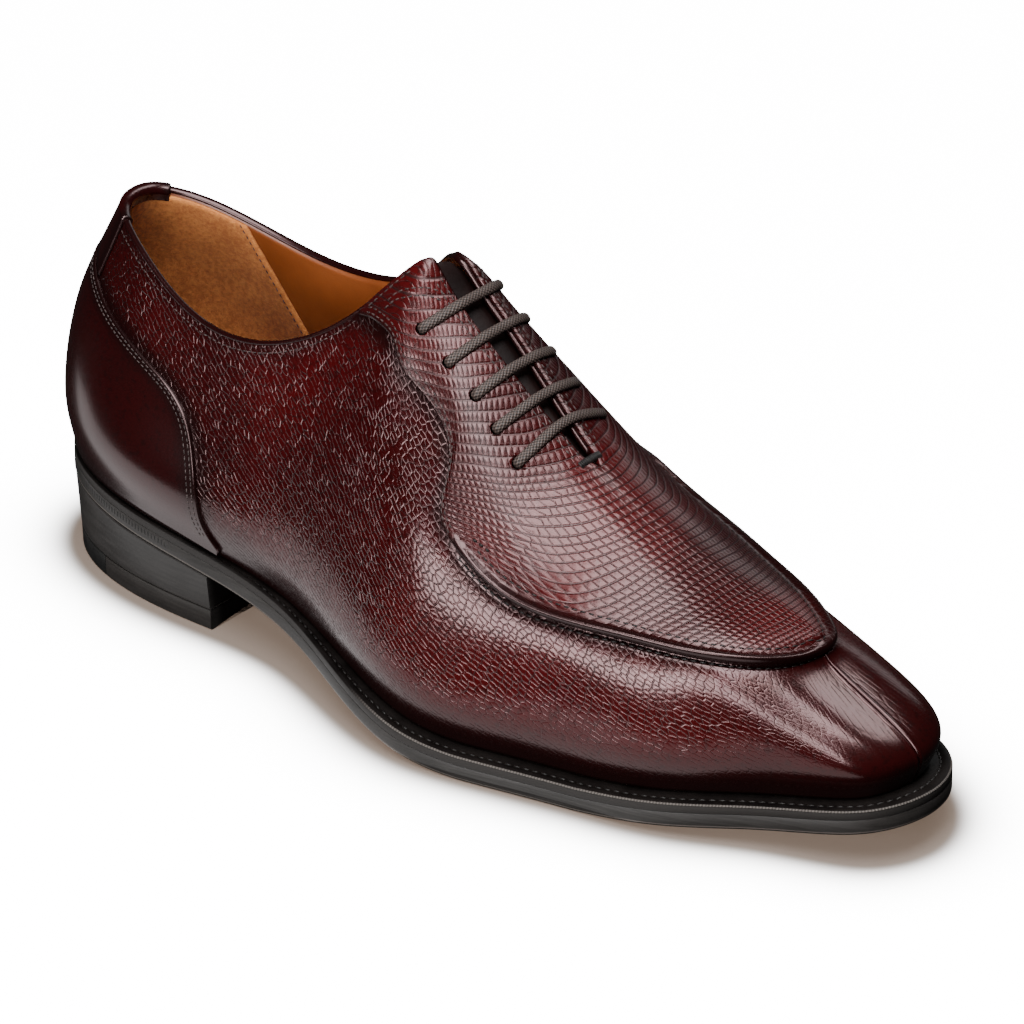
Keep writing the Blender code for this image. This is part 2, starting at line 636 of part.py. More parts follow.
def hole_centres():
    """Centre and normal of each lace hole on the upper's outer face."""
    bars = columns(BARS, BAR_COLUMNS)
    places = np.concatenate([bars["station"], ROUND - bars["station"]])
    height = np.tile(bars["hole_height"], 2)
    return last_surface(places, height), last_normal(places, height)


def square_stations(station, heights):
    """For each height, the station at which the surface lies square to the slit from a hole."""
    search = station + np.linspace(-6.0, 24.0, 61)
    points = last_surface(*np.meshgrid(search, heights, indexing="ij"))
    hole = last_surface(np.array([station]), heights[:1])[0]
    ends = last_surface(np.array([station, station + 12.0]), np.ones(2))
    slit = (ends[1] - ends[0]) / np.linalg.norm(ends[1] - ends[0])
    ahead = ((points - hole) * slit).sum(-1)
    return np.array([np.interp(0.0, ahead[:, k], search) for k in range(len(heights))])


def make_bar(station, hole_height):
    """One straight lace bar, a tube that lies over both facings and square across the slit."""
    heights = np.linspace(hole_height, 1.0, 5)
    stations = square_stations(station, heights)
    lift = OVERLAY_GAP + OVERLAY_THICK + GAP + 0.5 * LACE_DIAMETER
    left = offset(stations, heights, np.full(5, lift))
    right = offset(ROUND - stations, heights, np.full(5, lift))
    path = np.concatenate([left, right[::-1]])
    tangent = np.gradient(path, axis=0)
    tangent /= np.linalg.norm(tangent, axis=1, keepdims=True)
    up = np.cross(tangent, np.array([1.0, 0.0, 0.0]))
    up /= np.linalg.norm(up, axis=1, keepdims=True)
    aside = np.cross(tangent, up)
    sides = 6
    turn = np.linspace(0, 2 * np.pi, sides, endpoint=False)
    ring = (np.cos(turn)[None, :, None] * aside[:, None] + np.sin(turn)[None, :, None] * up[:, None])
    verts = (path[:, None] + 0.5 * LACE_DIAMETER * ring).reshape(-1, 3)
    faces = [tuple(range(sides)), tuple(range((len(path) - 1) * sides, len(path) * sides))[::-1]]
    for i in range(len(path) - 1):
        for k in range(sides):
            m = (k + 1) % sides
            faces.append((i * sides + k, (i + 1) * sides + k, (i + 1) * sides + m, i * sides + m))
    return verts, faces


def material(name):
    """A Principled material with the piece's colour and roughness."""
    key = "lace_bar" if name.startswith("lace_bar") else name
    colour, rough = COLOURS[key]
    made = bpy.data.materials.new(name)
    made.use_nodes = True
    shader = made.node_tree.nodes["Principled BSDF"]
    shader.inputs["Base Color"].default_value = (*colour, 1.0)
    shader.inputs["Roughness"].default_value = rough
    shader.inputs["Metallic"].default_value = 0.0
    return made


def add_object(name, verts, faces, origin):
    """A mesh object from millimetre points, welded, in metres about the origin."""
    mesh = bpy.data.meshes.new(name)
    mesh.from_pydata(((verts - origin) / 1000.0).tolist(), [], faces)
    work = bmesh.new()
    work.from_mesh(mesh)
    bmesh.ops.remove_doubles(work, verts=work.verts, dist=0.00001)
    bmesh.ops.dissolve_degenerate(work, edges=work.edges, dist=0.000001)
    bmesh.ops.recalc_face_normals(work, faces=work.faces)
    work.to_mesh(mesh)
    work.free()
    made = bpy.data.objects.new(name, mesh)
    bpy.context.scene.collection.objects.link(made)
    return made


def punch_holes(targets, origin):
    """Lace holes cut through the facings by one cutter of round pins."""
    centres, normals = hole_centres()
    cutter_mesh = bpy.data.meshes.new("lace_hole_cutter")
    work = bmesh.new()
    for centre, normal in zip(centres, normals):
        side = np.cross(normal, [1.0, 0.0, 0.0])
        side /= np.linalg.norm(side)
        other = np.cross(normal, side)
        turn = np.linspace(0, 2 * np.pi, 8, endpoint=False)
        rim = 0.5 * HOLE_DIAMETER * (np.cos(turn)[:, None] * side + np.sin(turn)[:, None] * other)
        ends = []
        for depth in (-UPPER_WALL - 1.2, OVERLAY_THICK + 1.4):
            points = (centre + normal * depth + rim - origin) / 1000.0
            ends.append([work.verts.new(p) for p in points])
        work.faces.new(ends[0])
        work.faces.new(ends[1][::-1])
        for k in range(8):
            m = (k + 1) % 8
            work.faces.new((ends[0][k], ends[1][k], ends[1][m], ends[0][m]))
    bmesh.ops.recalc_face_normals(work, faces=work.faces)
    work.to_mesh(cutter_mesh)
    work.free()
    cutter = bpy.data.objects.new("lace_hole_cutter", cutter_mesh)
    bpy.context.scene.collection.objects.link(cutter)
    cutter.hide_render = True
    cutter.display_type = "WIRE"
    for target in targets:
        cut = target.modifiers.new("lace holes", "BOOLEAN")
        cut.operation = "DIFFERENCE"
        cut.solver = "EXACT"
        cut.object = cutter


def main():
    for item in list(bpy.data.objects):
        bpy.data.objects.remove(item, do_unlink=True)
    pieces = {
        "upper": make_upper(), "apron": make_apron(), "counter": make_counter(),
        "back_tab": make_back_tab(), "tongue": make_tongue(), "insole": make_insole(),
        "welt": make_welt(), "outsole": make_outsole(), "heel_stack": make_heel_stack(),
        "heel_lift_rubber": make_lift(0.0, RUBBER_END - GAP, -RUBBER_BOW),
        "heel_lift_leather": make_lift(RUBBER_END, HEEL_BREAST, HEEL_HOLLOW),
    }
    for number, (station, hole_height) in enumerate(BARS, 1):
        pieces["lace_bar_%d" % number] = make_bar(station, hole_height)
    every = np.concatenate([verts for verts, _ in pieces.values()])
    low, high = every.min(axis=0), every.max(axis=0)
    origin = np.array([0.5 * (low[0] + high[0]), 0.5 * (low[1] + high[1]), 0.0])
    made = {}
    for name, (verts, faces) in pieces.items():
        made[name] = add_object(name, verts, faces, origin)
        made[name].data.materials.append(material(name))
    punch_holes([made["upper"], made["apron"]], origin)
    print("size in mm", np.round(high - low, 1), "origin", np.round(origin, 2))


main()
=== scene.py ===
# %% [markdown]
# # A burgundy oxford with a raised apron
#
# The solids of the shoe are already made: upper, welt, sole, heel and laces stand in one frame.
# This lesson dresses them.  Every leather piece is worked out again from the same small tables,
# but on a much finer grid, so that edges can be rounded and seams can sink in.
# Lengths in the tables are millimetres from the back of the heel.

# %% Load the frame
import math

import bmesh
import bpy
import numpy as np
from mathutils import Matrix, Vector


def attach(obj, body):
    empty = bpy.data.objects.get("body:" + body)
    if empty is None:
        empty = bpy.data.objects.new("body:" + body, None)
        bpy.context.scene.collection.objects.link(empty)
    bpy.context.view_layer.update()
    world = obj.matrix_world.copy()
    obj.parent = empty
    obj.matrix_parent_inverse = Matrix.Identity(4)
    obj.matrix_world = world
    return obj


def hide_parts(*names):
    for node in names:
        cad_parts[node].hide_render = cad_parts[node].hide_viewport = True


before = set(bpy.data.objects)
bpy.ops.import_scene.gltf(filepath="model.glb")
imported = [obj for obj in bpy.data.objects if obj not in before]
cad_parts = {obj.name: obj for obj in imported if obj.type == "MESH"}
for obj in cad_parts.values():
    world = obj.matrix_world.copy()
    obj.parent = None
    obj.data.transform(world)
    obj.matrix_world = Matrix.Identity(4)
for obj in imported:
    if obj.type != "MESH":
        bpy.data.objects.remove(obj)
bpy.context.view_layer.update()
MM = 0.001
ORIGIN = np.array([147.18, -0.69, 0.0])

# %% [markdown]
# ## Camera
#
# The shoe is seen from the toe end of its outer side and from above, through a long lens.
# A long lens keeps the sides of the sole nearly parallel, as in a catalogue picture.
# The picture could be framed with a lens shift, but other views would keep that shift, so the
# camera turns to the middle of the shoe instead.

# %% Camera
AZIMUTH, ELEVATION = math.radians(40.69), math.radians(29.11)
DISTANCE, LENS = 2.3315, 303.0
SHOE_MIDDLE = Vector((-0.0017, 0.0026, 0.0340))
AIM_RIGHT, AIM_UP = 0.0055, 0.0130
back = Vector((math.sin(AZIMUTH) * math.cos(ELEVATION),
               -math.cos(AZIMUTH) * math.cos(ELEVATION), math.sin(ELEVATION)))
right = Vector((math.cos(AZIMUTH), math.sin(AZIMUTH), 0.0))
up = back.cross(right)
stand = SHOE_MIDDLE + back * DISTANCE
aim = SHOE_MIDDLE + right * AIM_RIGHT + up * AIM_UP
camera = bpy.data.objects.new("camera", bpy.data.cameras.new("camera"))
camera.data.lens = LENS
camera.data.clip_end = 30.0
camera.location = stand
camera.rotation_euler = (stand - aim).to_track_quat("Z", "Y").to_euler()
bpy.context.scene.collection.objects.link(camera)
bpy.context.scene.camera = camera
print("camera stands", [round(v, 3) for v in stand])

# %% [markdown]
# ## The last, as a function
#
# A shoemaker pulls leather over a last.  Here the last is a function of two numbers: the place
# round the sole and the height up a section.  A section has four points (feather line, swell,
# girth, top line) that are read from tables by splines.  Meshes could be sculpted instead, but
# a function lets each panel, seam and stitch ask for exactly the same surface.

# %% Tables of the last
SOLE_COLUMNS = ("x", "lateral", "medial", "welt_width", "sole_z")
SOLE = (
    (1.5, 0.0, 0.0, 1.5, 24.7), (9.0, 17.5, 17.5, 1.5, 24.2), (30.0, 30.0, 30.0, 1.5, 22.2),
    (65.0, 34.0, 33.0, 1.5, 18.7), (100.0, 35.0, 30.0, 2.5, 12.7), (130.0, 45.0, 30.0, 4.0, 7.2),
    (159.0, 51.5, 36.5, 5.5, 1.5), (186.0, 47.5, 45.5, 6.0, -0.3), (209.0, 42.2, 50.0, 6.0, -0.1),
    (236.0, 35.5, 46.5, 6.0, 2.2), (259.5, 24.5, 39.0, 6.0, 5.0), (277.0, 17.8, 31.5, 6.0, 7.4),
    (288.0, 11.6, 22.5, 6.0, 9.2), (295.0, -5.0, 5.0, 6.5, 10.4),
)
GIRTH_COLUMNS = ("swell_lateral", "swell_medial", "swell_rise",
                 "x", "lateral", "medial", "z_lateral", "z_medial")
GIRTH = (
    (2.3, 2.3, 17.0, 5.0, 0.0, 0.0, 75.0, 75.0), (2.5, 2.5, 17.0, 9.5, 14.0, 14.0, 74.0, 74.0),
    (3.5, 3.5, 17.0, 30.0, 26.5, 26.5, 70.0, 70.0), (4.0, 4.0, 17.0, 65.0, 31.5, 30.0, 62.0, 63.0),
    (4.0, 2.0, 16.0, 99.0, 33.0, 28.5, 62.0, 64.0), (3.5, 2.0, 16.0, 128.0, 36.0, 30.0, 66.0, 68.0),
    (3.0, 2.5, 15.0, 154.0, 37.5, 33.0, 66.0, 68.0), (3.0, 3.0, 14.0, 180.0, 37.0, 36.0, 54.0, 55.0),
    (3.0, 3.0, 13.0, 202.0, 34.5, 33.5, 50.0, 49.5), (3.0, 3.0, 12.0, 224.0, 28.5, 26.5, 48.5, 48.5),
    (3.0, 3.0, 11.0, 243.0, 21.5, 19.5, 47.5, 47.5), (3.0, 3.0, 10.0, 254.0, 13.0, 14.0, 46.0, 46.0),
    (2.5, 2.5, 9.0, 258.5, 5.0, 10.5, 45.0, 45.0), (1.5, 1.5, 8.0, 260.0, -4.0, 4.0, 44.5, 44.5),
)
TOP_COLUMNS = ("station", "x", "centre", "half", "z_lateral", "z_medial", "crown")
TOP = (
    (0.0, 18.0, 0.0, 0.0, 105.0, 105.0, 0.0), (19.0, 20.5, 0.0, 8.0, 104.0, 104.0, 0.0),
    (43.5, 34.0, 0.0, 16.5, 99.5, 100.0, 0.0), (78.7, 64.0, 0.0, 23.5, 89.0, 91.5, 0.0),
    (113.7, 97.0, 0.0, 21.0, 94.0, 96.0, 0.03), (125.0, 108.0, 0.0, 18.0, 101.0, 102.0, 0.10),
    (133.0, 116.0, 0.0, 15.0, 108.5, 109.0, 0.19), (139.0, 122.5, 0.0, 11.5, 116.0, 115.2, 0.27),
    (143.0, 127.3, 0.0, 7.9, 121.4, 118.6, 0.33), (146.0, 130.4, 0.0, 5.6, 123.6, 119.9, 0.38),
    (149.0, 132.7, 0.0, 5.0, 121.8, 119.8, 0.43), (153.0, 135.4, 0.0, 4.9, 118.3, 118.0, 0.49),
    (158.0, 139.4, 0.0, 4.85, 113.8, 113.8, 0.56), (166.0, 146.5, 0.0, 4.7, 107.4, 107.4, 0.66),
    (175.0, 154.7, 0.0, 4.2, 100.4, 100.4, 0.76), (191.5, 171.2, 0.0, 2.6, 86.4, 86.4, 0.91),
    (200.9, 180.6, 0.0, 1.7, 79.0, 79.0, 0.97), (223.9, 205.0, 0.0, 0.0, 67.0, 67.0, 1.0),
    (251.4, 228.0, 0.5, 0.0, 58.5, 58.5, 1.0), (276.7, 243.0, 2.0, 0.0, 54.0, 54.0, 1.0),
    (295.7, 250.0, 3.0, 0.0, 52.0, 52.0, 1.0), (308.6, 254.0, 3.5, 0.0, 50.8, 50.8, 1.0),
    (327.4, 256.0, 4.0, 0.0, 50.0, 50.0, 1.0),
)
THROAT, SLIT_FOOT, SLIT_END, SLIT_FADE = 146.0, 200.9, 204.0, 223.9
GAP, OUTSOLE_THICK, WELT_THICK, UPPER_WALL = 0.3, 4.6, 2.6, 1.8
SWELL_T, GIRTH_T = 0.20, 0.55


def columns(rows, names):
    """A table's rows as one array for each column name."""
    return dict(zip(names, np.array(rows, float).T))


SOLE_T, GIRTH_TABLE, TOP_T = (columns(SOLE, SOLE_COLUMNS), columns(GIRTH, GIRTH_COLUMNS),
                              columns(TOP, TOP_COLUMNS))
HALF_WIDTH = 0.5 * (SOLE_T["lateral"] + SOLE_T["medial"])
STATION = np.concatenate([[0.0], np.cumsum(np.hypot(np.diff(SOLE_T["x"]), np.diff(HALF_WIDTH)))])
TOE = STATION[-1]
ROUND = 2.0 * TOE
print("round the sole in mm", round(ROUND, 1))

# %% Splines round the shoe
def spline(knots, values, at):
    """Natural cubic spline through the knots: second derivatives solve one banded system."""
    knots, values, at = (np.asarray(v, float) for v in (knots, values, at))
    step, count = np.diff(knots), len(knots)
    matrix, push = np.eye(count), np.zeros(count)
    inner = np.arange(1, count - 1)
    matrix[inner, inner - 1] = step[:-1]
    matrix[inner, inner] = 2.0 * (step[:-1] + step[1:])
    matrix[inner, inner + 1] = step[1:]
    push[inner] = 6.0 * np.diff(np.diff(values) / step)
    bend = np.linalg.solve(matrix, push)
    i = np.clip(np.searchsorted(knots, at) - 1, 0, count - 2)
    before, after, width = at - knots[i], knots[i + 1] - at, step[i]
    return ((bend[i] * after ** 3 + bend[i + 1] * before ** 3) / (6.0 * width)
            + (values[i] / width - bend[i] * width / 6.0) * after
            + (values[i + 1] / width - bend[i + 1] * width / 6.0) * before)


def round_loop(lateral, medial, place):
    """A column carried round the shoe: heel, lateral side, toe, medial side."""
    knots = np.concatenate([STATION, ROUND - STATION[-2:0:-1]])
    values = np.concatenate([lateral, medial[-2:0:-1]])
    knots = np.concatenate([knots[-4:] - ROUND, knots, knots[:4] + ROUND])
    values = np.concatenate([values[-4:], values, values[:4]])
    return spline(knots, values, np.mod(place, ROUND))


def signed_station(place):
    """Distance from the heel back along the sole, negative on the medial side."""
    return np.mod(place + TOE, ROUND) - TOE


def along_top(lateral, medial, place):
    """A top-line column as one curve from the toe round the heel and back to the toe."""
    knots = np.concatenate([-TOP_T["station"][:0:-1], TOP_T["station"]])
    values = np.concatenate([medial[:0:-1], lateral])
    return spline(knots, values, np.clip(signed_station(place), -TOE, TOE))


def smooth(low, high, value):
    """0 below low, 1 above high, and an S-shaped cubic between them."""
    share = np.clip((np.asarray(value, float) - low) / (high - low), 0.0, 1.0)
    return share * share * (3.0 - 2.0 * share)


def slit_half(place):
    """Signed distance of the top line from the middle: collar, slit, then nothing."""
    signed = signed_station(place)
    half = np.abs(along_top(-TOP_T["half"], TOP_T["half"], place))
    return -np.sign(signed) * np.where(np.abs(signed) < SLIT_FADE, half, 0.0)


def sole_outline(place):
    """Plan of the sole's edge, and its outward normal from a small step along it."""
    def at(p):
        return np.stack([round_loop(SOLE_T["x"], SOLE_T["x"], p),
                         round_loop(-SOLE_T["lateral"], SOLE_T["medial"], p)], -1)
    along = at(place + 0.5) - at(place - 0.5)
    normal = np.stack([along[:, 1], -along[:, 0]], -1)
    return at(place), normal / np.linalg.norm(normal, axis=1, keepdims=True)


def sole_height(place):
    """Underside of the outsole: heel pitch, waist, a flat tread and toe spring."""
    return np.maximum(round_loop(SOLE_T["sole_z"], SOLE_T["sole_z"], place), 0.0)


print("toe spring in mm", round(float(sole_height(np.array([TOE]))[0]), 1))

# %% The last's surface
FEATHER_RISE = OUTSOLE_THICK + WELT_THICK + 2.0 * GAP
STEP_ROUND, STEP_UP = 0.4, 0.004


def section_points(place):
    """Feather, swell, girth and top points of the sections at these places."""
    edge, normal = sole_outline(place)
    width = round_loop(SOLE_T["welt_width"], SOLE_T["welt_width"], place)[:, None]
    height = sole_height(place) + FEATHER_RISE
    feather = np.column_stack([edge - normal * width, height])
    out = round_loop(GIRTH_TABLE["swell_lateral"], GIRTH_TABLE["swell_medial"], place)[:, None]
    rise = round_loop(GIRTH_TABLE["swell_rise"], GIRTH_TABLE["swell_rise"], place)
    swell = np.column_stack([feather[:, :2] + normal * out, height + rise])
    girth = np.column_stack([
        round_loop(GIRTH_TABLE["x"], GIRTH_TABLE["x"], place),
        round_loop(-GIRTH_TABLE["lateral"], GIRTH_TABLE["medial"], place),
        round_loop(GIRTH_TABLE["z_lateral"], GIRTH_TABLE["z_medial"], place)])
    top = np.column_stack([
        along_top(TOP_T["x"], TOP_T["x"], place),
        along_top(TOP_T["centre"], TOP_T["centre"], place) + slit_half(place),
        along_top(TOP_T["z_lateral"], TOP_T["z_medial"], place)])
    crown = np.clip(along_top(TOP_T["crown"], TOP_T["crown"], place), 0.0, 1.0)
    return feather, swell, girth, top, crown


def last_surface(place, height):
    """Points of the upper's outer face.

    A centripetal Catmull-Rom curve runs through the four section points, with height 0 at
    the feather and 1 at the top line.  In front of the slit the last few millimetres slide
    sideways until both sides meet on the middle line.
    """
    place, height = np.broadcast_arrays(np.asarray(place, float), np.asarray(height, float))
    shape = place.shape
    place, height = place.ravel(), height.ravel()
    feather, swell, girth, top, crown = section_points(place)
    beyond = top + (top - girth) * np.column_stack([np.ones((len(crown), 2)), 1.0 - 2.0 * crown])
    chain = np.stack([2.0 * feather - swell, feather, swell, girth, top, beyond])
    span = np.where(height < SWELL_T, 0, np.where(height < GIRTH_T, 1, 2))
    low = np.array([0.0, SWELL_T, GIRTH_T])[span]
    high = np.array([SWELL_T, GIRTH_T, 1.0])[span]
    u = ((height - low) / (high - low))[:, None]
    each = np.arange(len(place))
    p0, p1, p2, p3 = (chain[span + k, each] for k in range(4))
    d0, d1, d2 = (np.maximum(np.linalg.norm(b - a, axis=1, keepdims=True), 1e-9) ** 0.5
                  for a, b in ((p0, p1), (p1, p2), (p2, p3)))
    m1 = ((p1 - p0) / d0 - (p2 - p0) / (d0 + d1) + (p2 - p1) / d1) * d1
    m2 = ((p2 - p1) / d1 - (p3 - p1) / (d1 + d2) + (p3 - p2) / d2) * d1
    point = ((2 * u ** 3 - 3 * u ** 2 + 1) * p1 + (u ** 3 - 2 * u ** 2 + u) * m1
             + (3 * u ** 2 - 2 * u ** 3) * p2 + (u ** 3 - u ** 2) * m2)
    closing = smooth(SLIT_FOOT, SLIT_END, np.abs(signed_station(place))) * smooth(0.84, 1.0, height)
    point[:, 1] -= slit_half(place) * closing
    return point.reshape(shape + (3,))


def last_normal(place, height):
    """Outward unit normal of the last's surface, from small steps both ways."""
    place, height = np.broadcast_arrays(np.asarray(place, float), np.asarray(height, float))
    height = np.clip(height, STEP_UP, 0.98)
    along = last_surface(place + STEP_ROUND, height) - last_surface(place - STEP_ROUND, height)
    upward = last_surface(place, height + STEP_UP) - last_surface(place, height - STEP_UP)
    normal = np.cross(along, upward)
    return normal / np.linalg.norm(normal, axis=-1, keepdims=True)


def offset(place, height, distance):
    """Points of the last's surface moved along its normal by a distance in mm."""
    place, height, distance = np.broadcast_arrays(place, height, distance)
    return last_surface(place, height) + last_normal(place, height) * distance[..., None]


def both_sides(stations):
    """Places round the shoe for stations that run from heel back to toe."""
    stations = np.asarray(stations, float)
    return np.concatenate([stations, ROUND - stations[-2:0:-1]])


def on_side(side, place):
    """A place of the outer side (-1) as it is, or carried over to the inner side (1)."""
    return place if side < 0 else ROUND - place


print("throat point", np.round(last_surface(np.array([THROAT]), 1.0)[0], 1))

# %% [markdown]
# ## From grids to meshes
#
# Every new piece is a grid of points, and one helper turns any grid into a mesh.  It can close
# the grid into a ring, cap the ends of a ring, weld points that meet, and carry a map and named
# fields for the materials.  Doing this once keeps the pieces themselves to their own formulas.

# %% Mesh helpers
WELD = 0.000002


def skin(name, grid, uv=None, fields=None, wrap=(False, False), keep=None, caps=False, sharp=None):
    """A mesh from a grid of points in shoe millimetres.

    Point (i, k) joins its neighbours i + 1 and k + 1; wrap closes the grid in either direction,
    keep drops faces, and caps folds a ring's first and last rows shut upon themselves.
    """
    n, m = grid.shape[:2]
    i, k = np.meshgrid(np.arange(n if wrap[0] else n - 1), np.arange(m if wrap[1] else m - 1),
                       indexing="ij")
    corner_i = np.stack([i, i + 1, i + 1, i], -1)
    corner_k = np.stack([k, k, k + 1, k + 1], -1)
    chosen = np.ones(i.shape, bool) if keep is None else keep
    corner_i, corner_k = corner_i[chosen], corner_k[chosen]
    if caps:
        half = np.arange(m // 2 - 1)
        fold = np.stack([half, half + 1, m - 2 - half, m - 1 - half], -1)
        corner_k = np.concatenate([corner_k, fold, fold])
        corner_i = np.concatenate([corner_i, np.zeros_like(fold), np.full_like(fold, n - 1)])
    mesh = bpy.data.meshes.new(name)
    faces = (corner_i % n) * m + corner_k % m
    mesh.from_pydata(((grid.reshape(-1, 3) - ORIGIN) * MM).tolist(), [], faces.tolist())
    if uv is not None:
        layer = mesh.uv_layers.new(name="grain")
        rows, cols = np.minimum(corner_i, uv.shape[0] - 1), np.minimum(corner_k, uv.shape[1] - 1)
        layer.data.foreach_set("uv", uv[rows, cols].astype(np.float32).ravel())
    for key, value in (fields or {}).items():
        made = mesh.attributes.new(key, "FLOAT", "POINT")
        made.data.foreach_set("value", np.broadcast_to(value, (n, m)).astype(np.float32).ravel())
    work = bmesh.new()
    work.from_mesh(mesh)
    bmesh.ops.remove_doubles(work, verts=work.verts, dist=WELD)
    bmesh.ops.recalc_face_normals(work, faces=work.faces)
    work.to_mesh(mesh)
    work.free()
    mesh.polygons.foreach_set("use_smooth", np.ones(len(mesh.polygons), bool))
    if sharp:
        mesh.set_sharp_from_angle(angle=math.radians(sharp))
    made = bpy.data.objects.new(name, mesh)
    bpy.context.scene.collection.objects.link(made)
    return made


def dress(piece, material, slot, *nodes):
    """Gives a piece its material and the solids it stands for; the slot is not used."""
    piece.data.materials.append(material)
    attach(piece, "root")
    if nodes:
        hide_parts(*nodes)
    print(piece.name, len(piece.data.polygons), "faces")
    return piece


def shell(outer, inner):
    """One ring of rows from an outer grid and an inner grid of the same columns."""
    return np.concatenate([outer, inner[:, ::-1]], axis=1)


def close_spine(grid, station):
    """Last-row points of the two sides made one wherever the slit is closed."""
    mirror = (-np.arange(len(grid))) % len(grid)
    mean = 0.5 * (grid[:, -1] + grid[mirror, -1])
    grid[:, -1] = np.where((station >= SLIT_END - 1e-6)[:, None], mean, grid[:, -1])
    return grid


def run_length(points):
    """Distance along the last-but-one axis of a grid of points, starting from 0."""
    step = np.linalg.norm(np.diff(points, axis=-2), axis=-1)
    return np.concatenate([np.zeros(step.shape[:-1] + (1,)), np.cumsum(step, axis=-1)], axis=-1)


print("mesh helpers ready")

# %% [markdown]
# ## Shader arithmetic
#
# A leather shader mixes many small terms: grooves, mottling, burnish.  Writing them as Python
# expressions is easier to read than wiring boxes, so one small class wraps a socket.  Adding or
# multiplying two of them makes the Math node, and one method makes every other kind of node.

# %% Socket class
class Shade:
    """A socket of a material's node tree, with arithmetic that adds Math nodes."""

    def __init__(self, tree, socket=None):
        self.tree, self.socket = tree, socket

    def node(self, kind, settings=None, inputs=None, out=0):
        """Any node: its settings first, then the values or links of its sockets."""
        made = self.tree.nodes.new(kind)
        for key, value in (settings or {}).items():
            setattr(made, key, value)
        for key, value in (inputs or {}).items():
            if isinstance(value, Shade):
                self.tree.links.new(value.socket, made.inputs[key])
            else:
                made.inputs[key].default_value = value
        return Shade(self.tree, made.outputs[out])

    def math(self, operation, *others):
        """A Math node of that operation on this value and the others."""
        return self.node("ShaderNodeMath", {"operation": operation}, dict(enumerate((self, *others))))

    def __add__(self, other):
        return self.math("ADD", other)

    def __sub__(self, other):
        return self.math("SUBTRACT", other)

    def __rsub__(self, other):
        return self.node("ShaderNodeMath", {"operation": "SUBTRACT"}, {0: other, 1: self})

    def __mul__(self, other):
        return self.math("MULTIPLY", other)

    def __truediv__(self, other):
        return self.math("DIVIDE", other)

    __radd__, __rmul__ = __add__, __mul__

    def clamp(self, low, high):
        """0 below low, 1 above high and a smooth step between."""
        return self.node("ShaderNodeMapRange", {"interpolation_type": "SMOOTHSTEP"},
                         {0: self, 1: low, 2: high, 3: 0.0, 4: 1.0})

    def mix(self, first, second):
        """The colour between two colours that this value picks."""
        values = {0: self, 6: first, 7: second}
        ready = {k: v if isinstance(v, Shade) or k == 0 else (*v, 1.0) for k, v in values.items()}
        return self.node("ShaderNodeMix", {"data_type": "RGBA"}, ready, out=2)


def new_material(name, **constants):
    """A Principled material with constant sockets, and the start of its expressions."""
    made = bpy.data.materials.new(name)
    made.use_nodes = True
    shader = made.node_tree.nodes["Principled BSDF"]
    for key, value in constants.items():
        shader.inputs[key.replace("_", " ")].default_value = value
    return made, Shade(made.node_tree)


def connect(material, **links):
    """Links expressions to the Principled sockets that may change over a surface."""
    shader = material.node_tree.nodes["Principled BSDF"]
    for key, value in links.items():
        material.node_tree.links.new(value.socket, shader.inputs[key.replace("_", " ")])
    return material


def mesh_value(s, name):
    """A value that the mesh carries under that name."""
    return s.node("ShaderNodeAttribute", {"attribute_name": name}, out="Fac")


def grain_map(s):
    """The map that the piece carries."""
    return s.node("ShaderNodeUVMap", {"uv_map": "grain"})


def coordinate(s, vector, letter):
    """One coordinate of a map or vector."""
    return s.node("ShaderNodeSeparateXYZ", {}, {0: vector}, out=letter)


def soft_noise(s, scale, detail, out=0, **more):
    """Soft noise over the piece's own coordinates."""
    place = s.node("ShaderNodeTexCoord", out="Object")
    return s.node("ShaderNodeTexNoise", {}, {"Vector": place, "Scale": scale, "Detail": detail, **more}, out)


def relief(s, height, depth, **more):
    """A bump of that depth in mm, for a Normal socket."""
    return s.node("ShaderNodeBump", {}, {"Height": height, "Distance": depth * MM, **more}, "Normal")


print("shader helpers ready")

# %% [markdown]
# ## Lights
#
# Polished leather shows its light sources as soft grey windows, so each light is a rectangle that
# stands where its gleam is wanted.  A wide box hangs over the shoe for the apron.  A low box in
# front and one beside it gleam in the wall under the ridge, and a narrow link box above joins
# that gleam to the apron's.  Two boxes behind reach the toe and the inner side.  A sky picture
# could do the same in one node, but boxes can be moved one by one.  The pale floor would mirror
# as a grey veil over the whole side, so the leather does not see it, and a narrow strip light
# on the floor takes its place.

# %% Lights
ROOM_LIGHT = 0.4


def softbox(name, place, target, size, watts):
    """A rectangular light of that size in metres, turned to its target."""
    lamp = bpy.data.lights.new(name, "AREA")
    lamp.shape, lamp.size, lamp.size_y, lamp.energy = "RECTANGLE", size[0], size[1], watts
    made = bpy.data.objects.new(name, lamp)
    made.location = place
    made.rotation_euler = (Vector(place) - Vector(target)).to_track_quat("Z", "Y").to_euler()
    made.visible_camera = False
    bpy.context.scene.collection.objects.link(made)
    return made


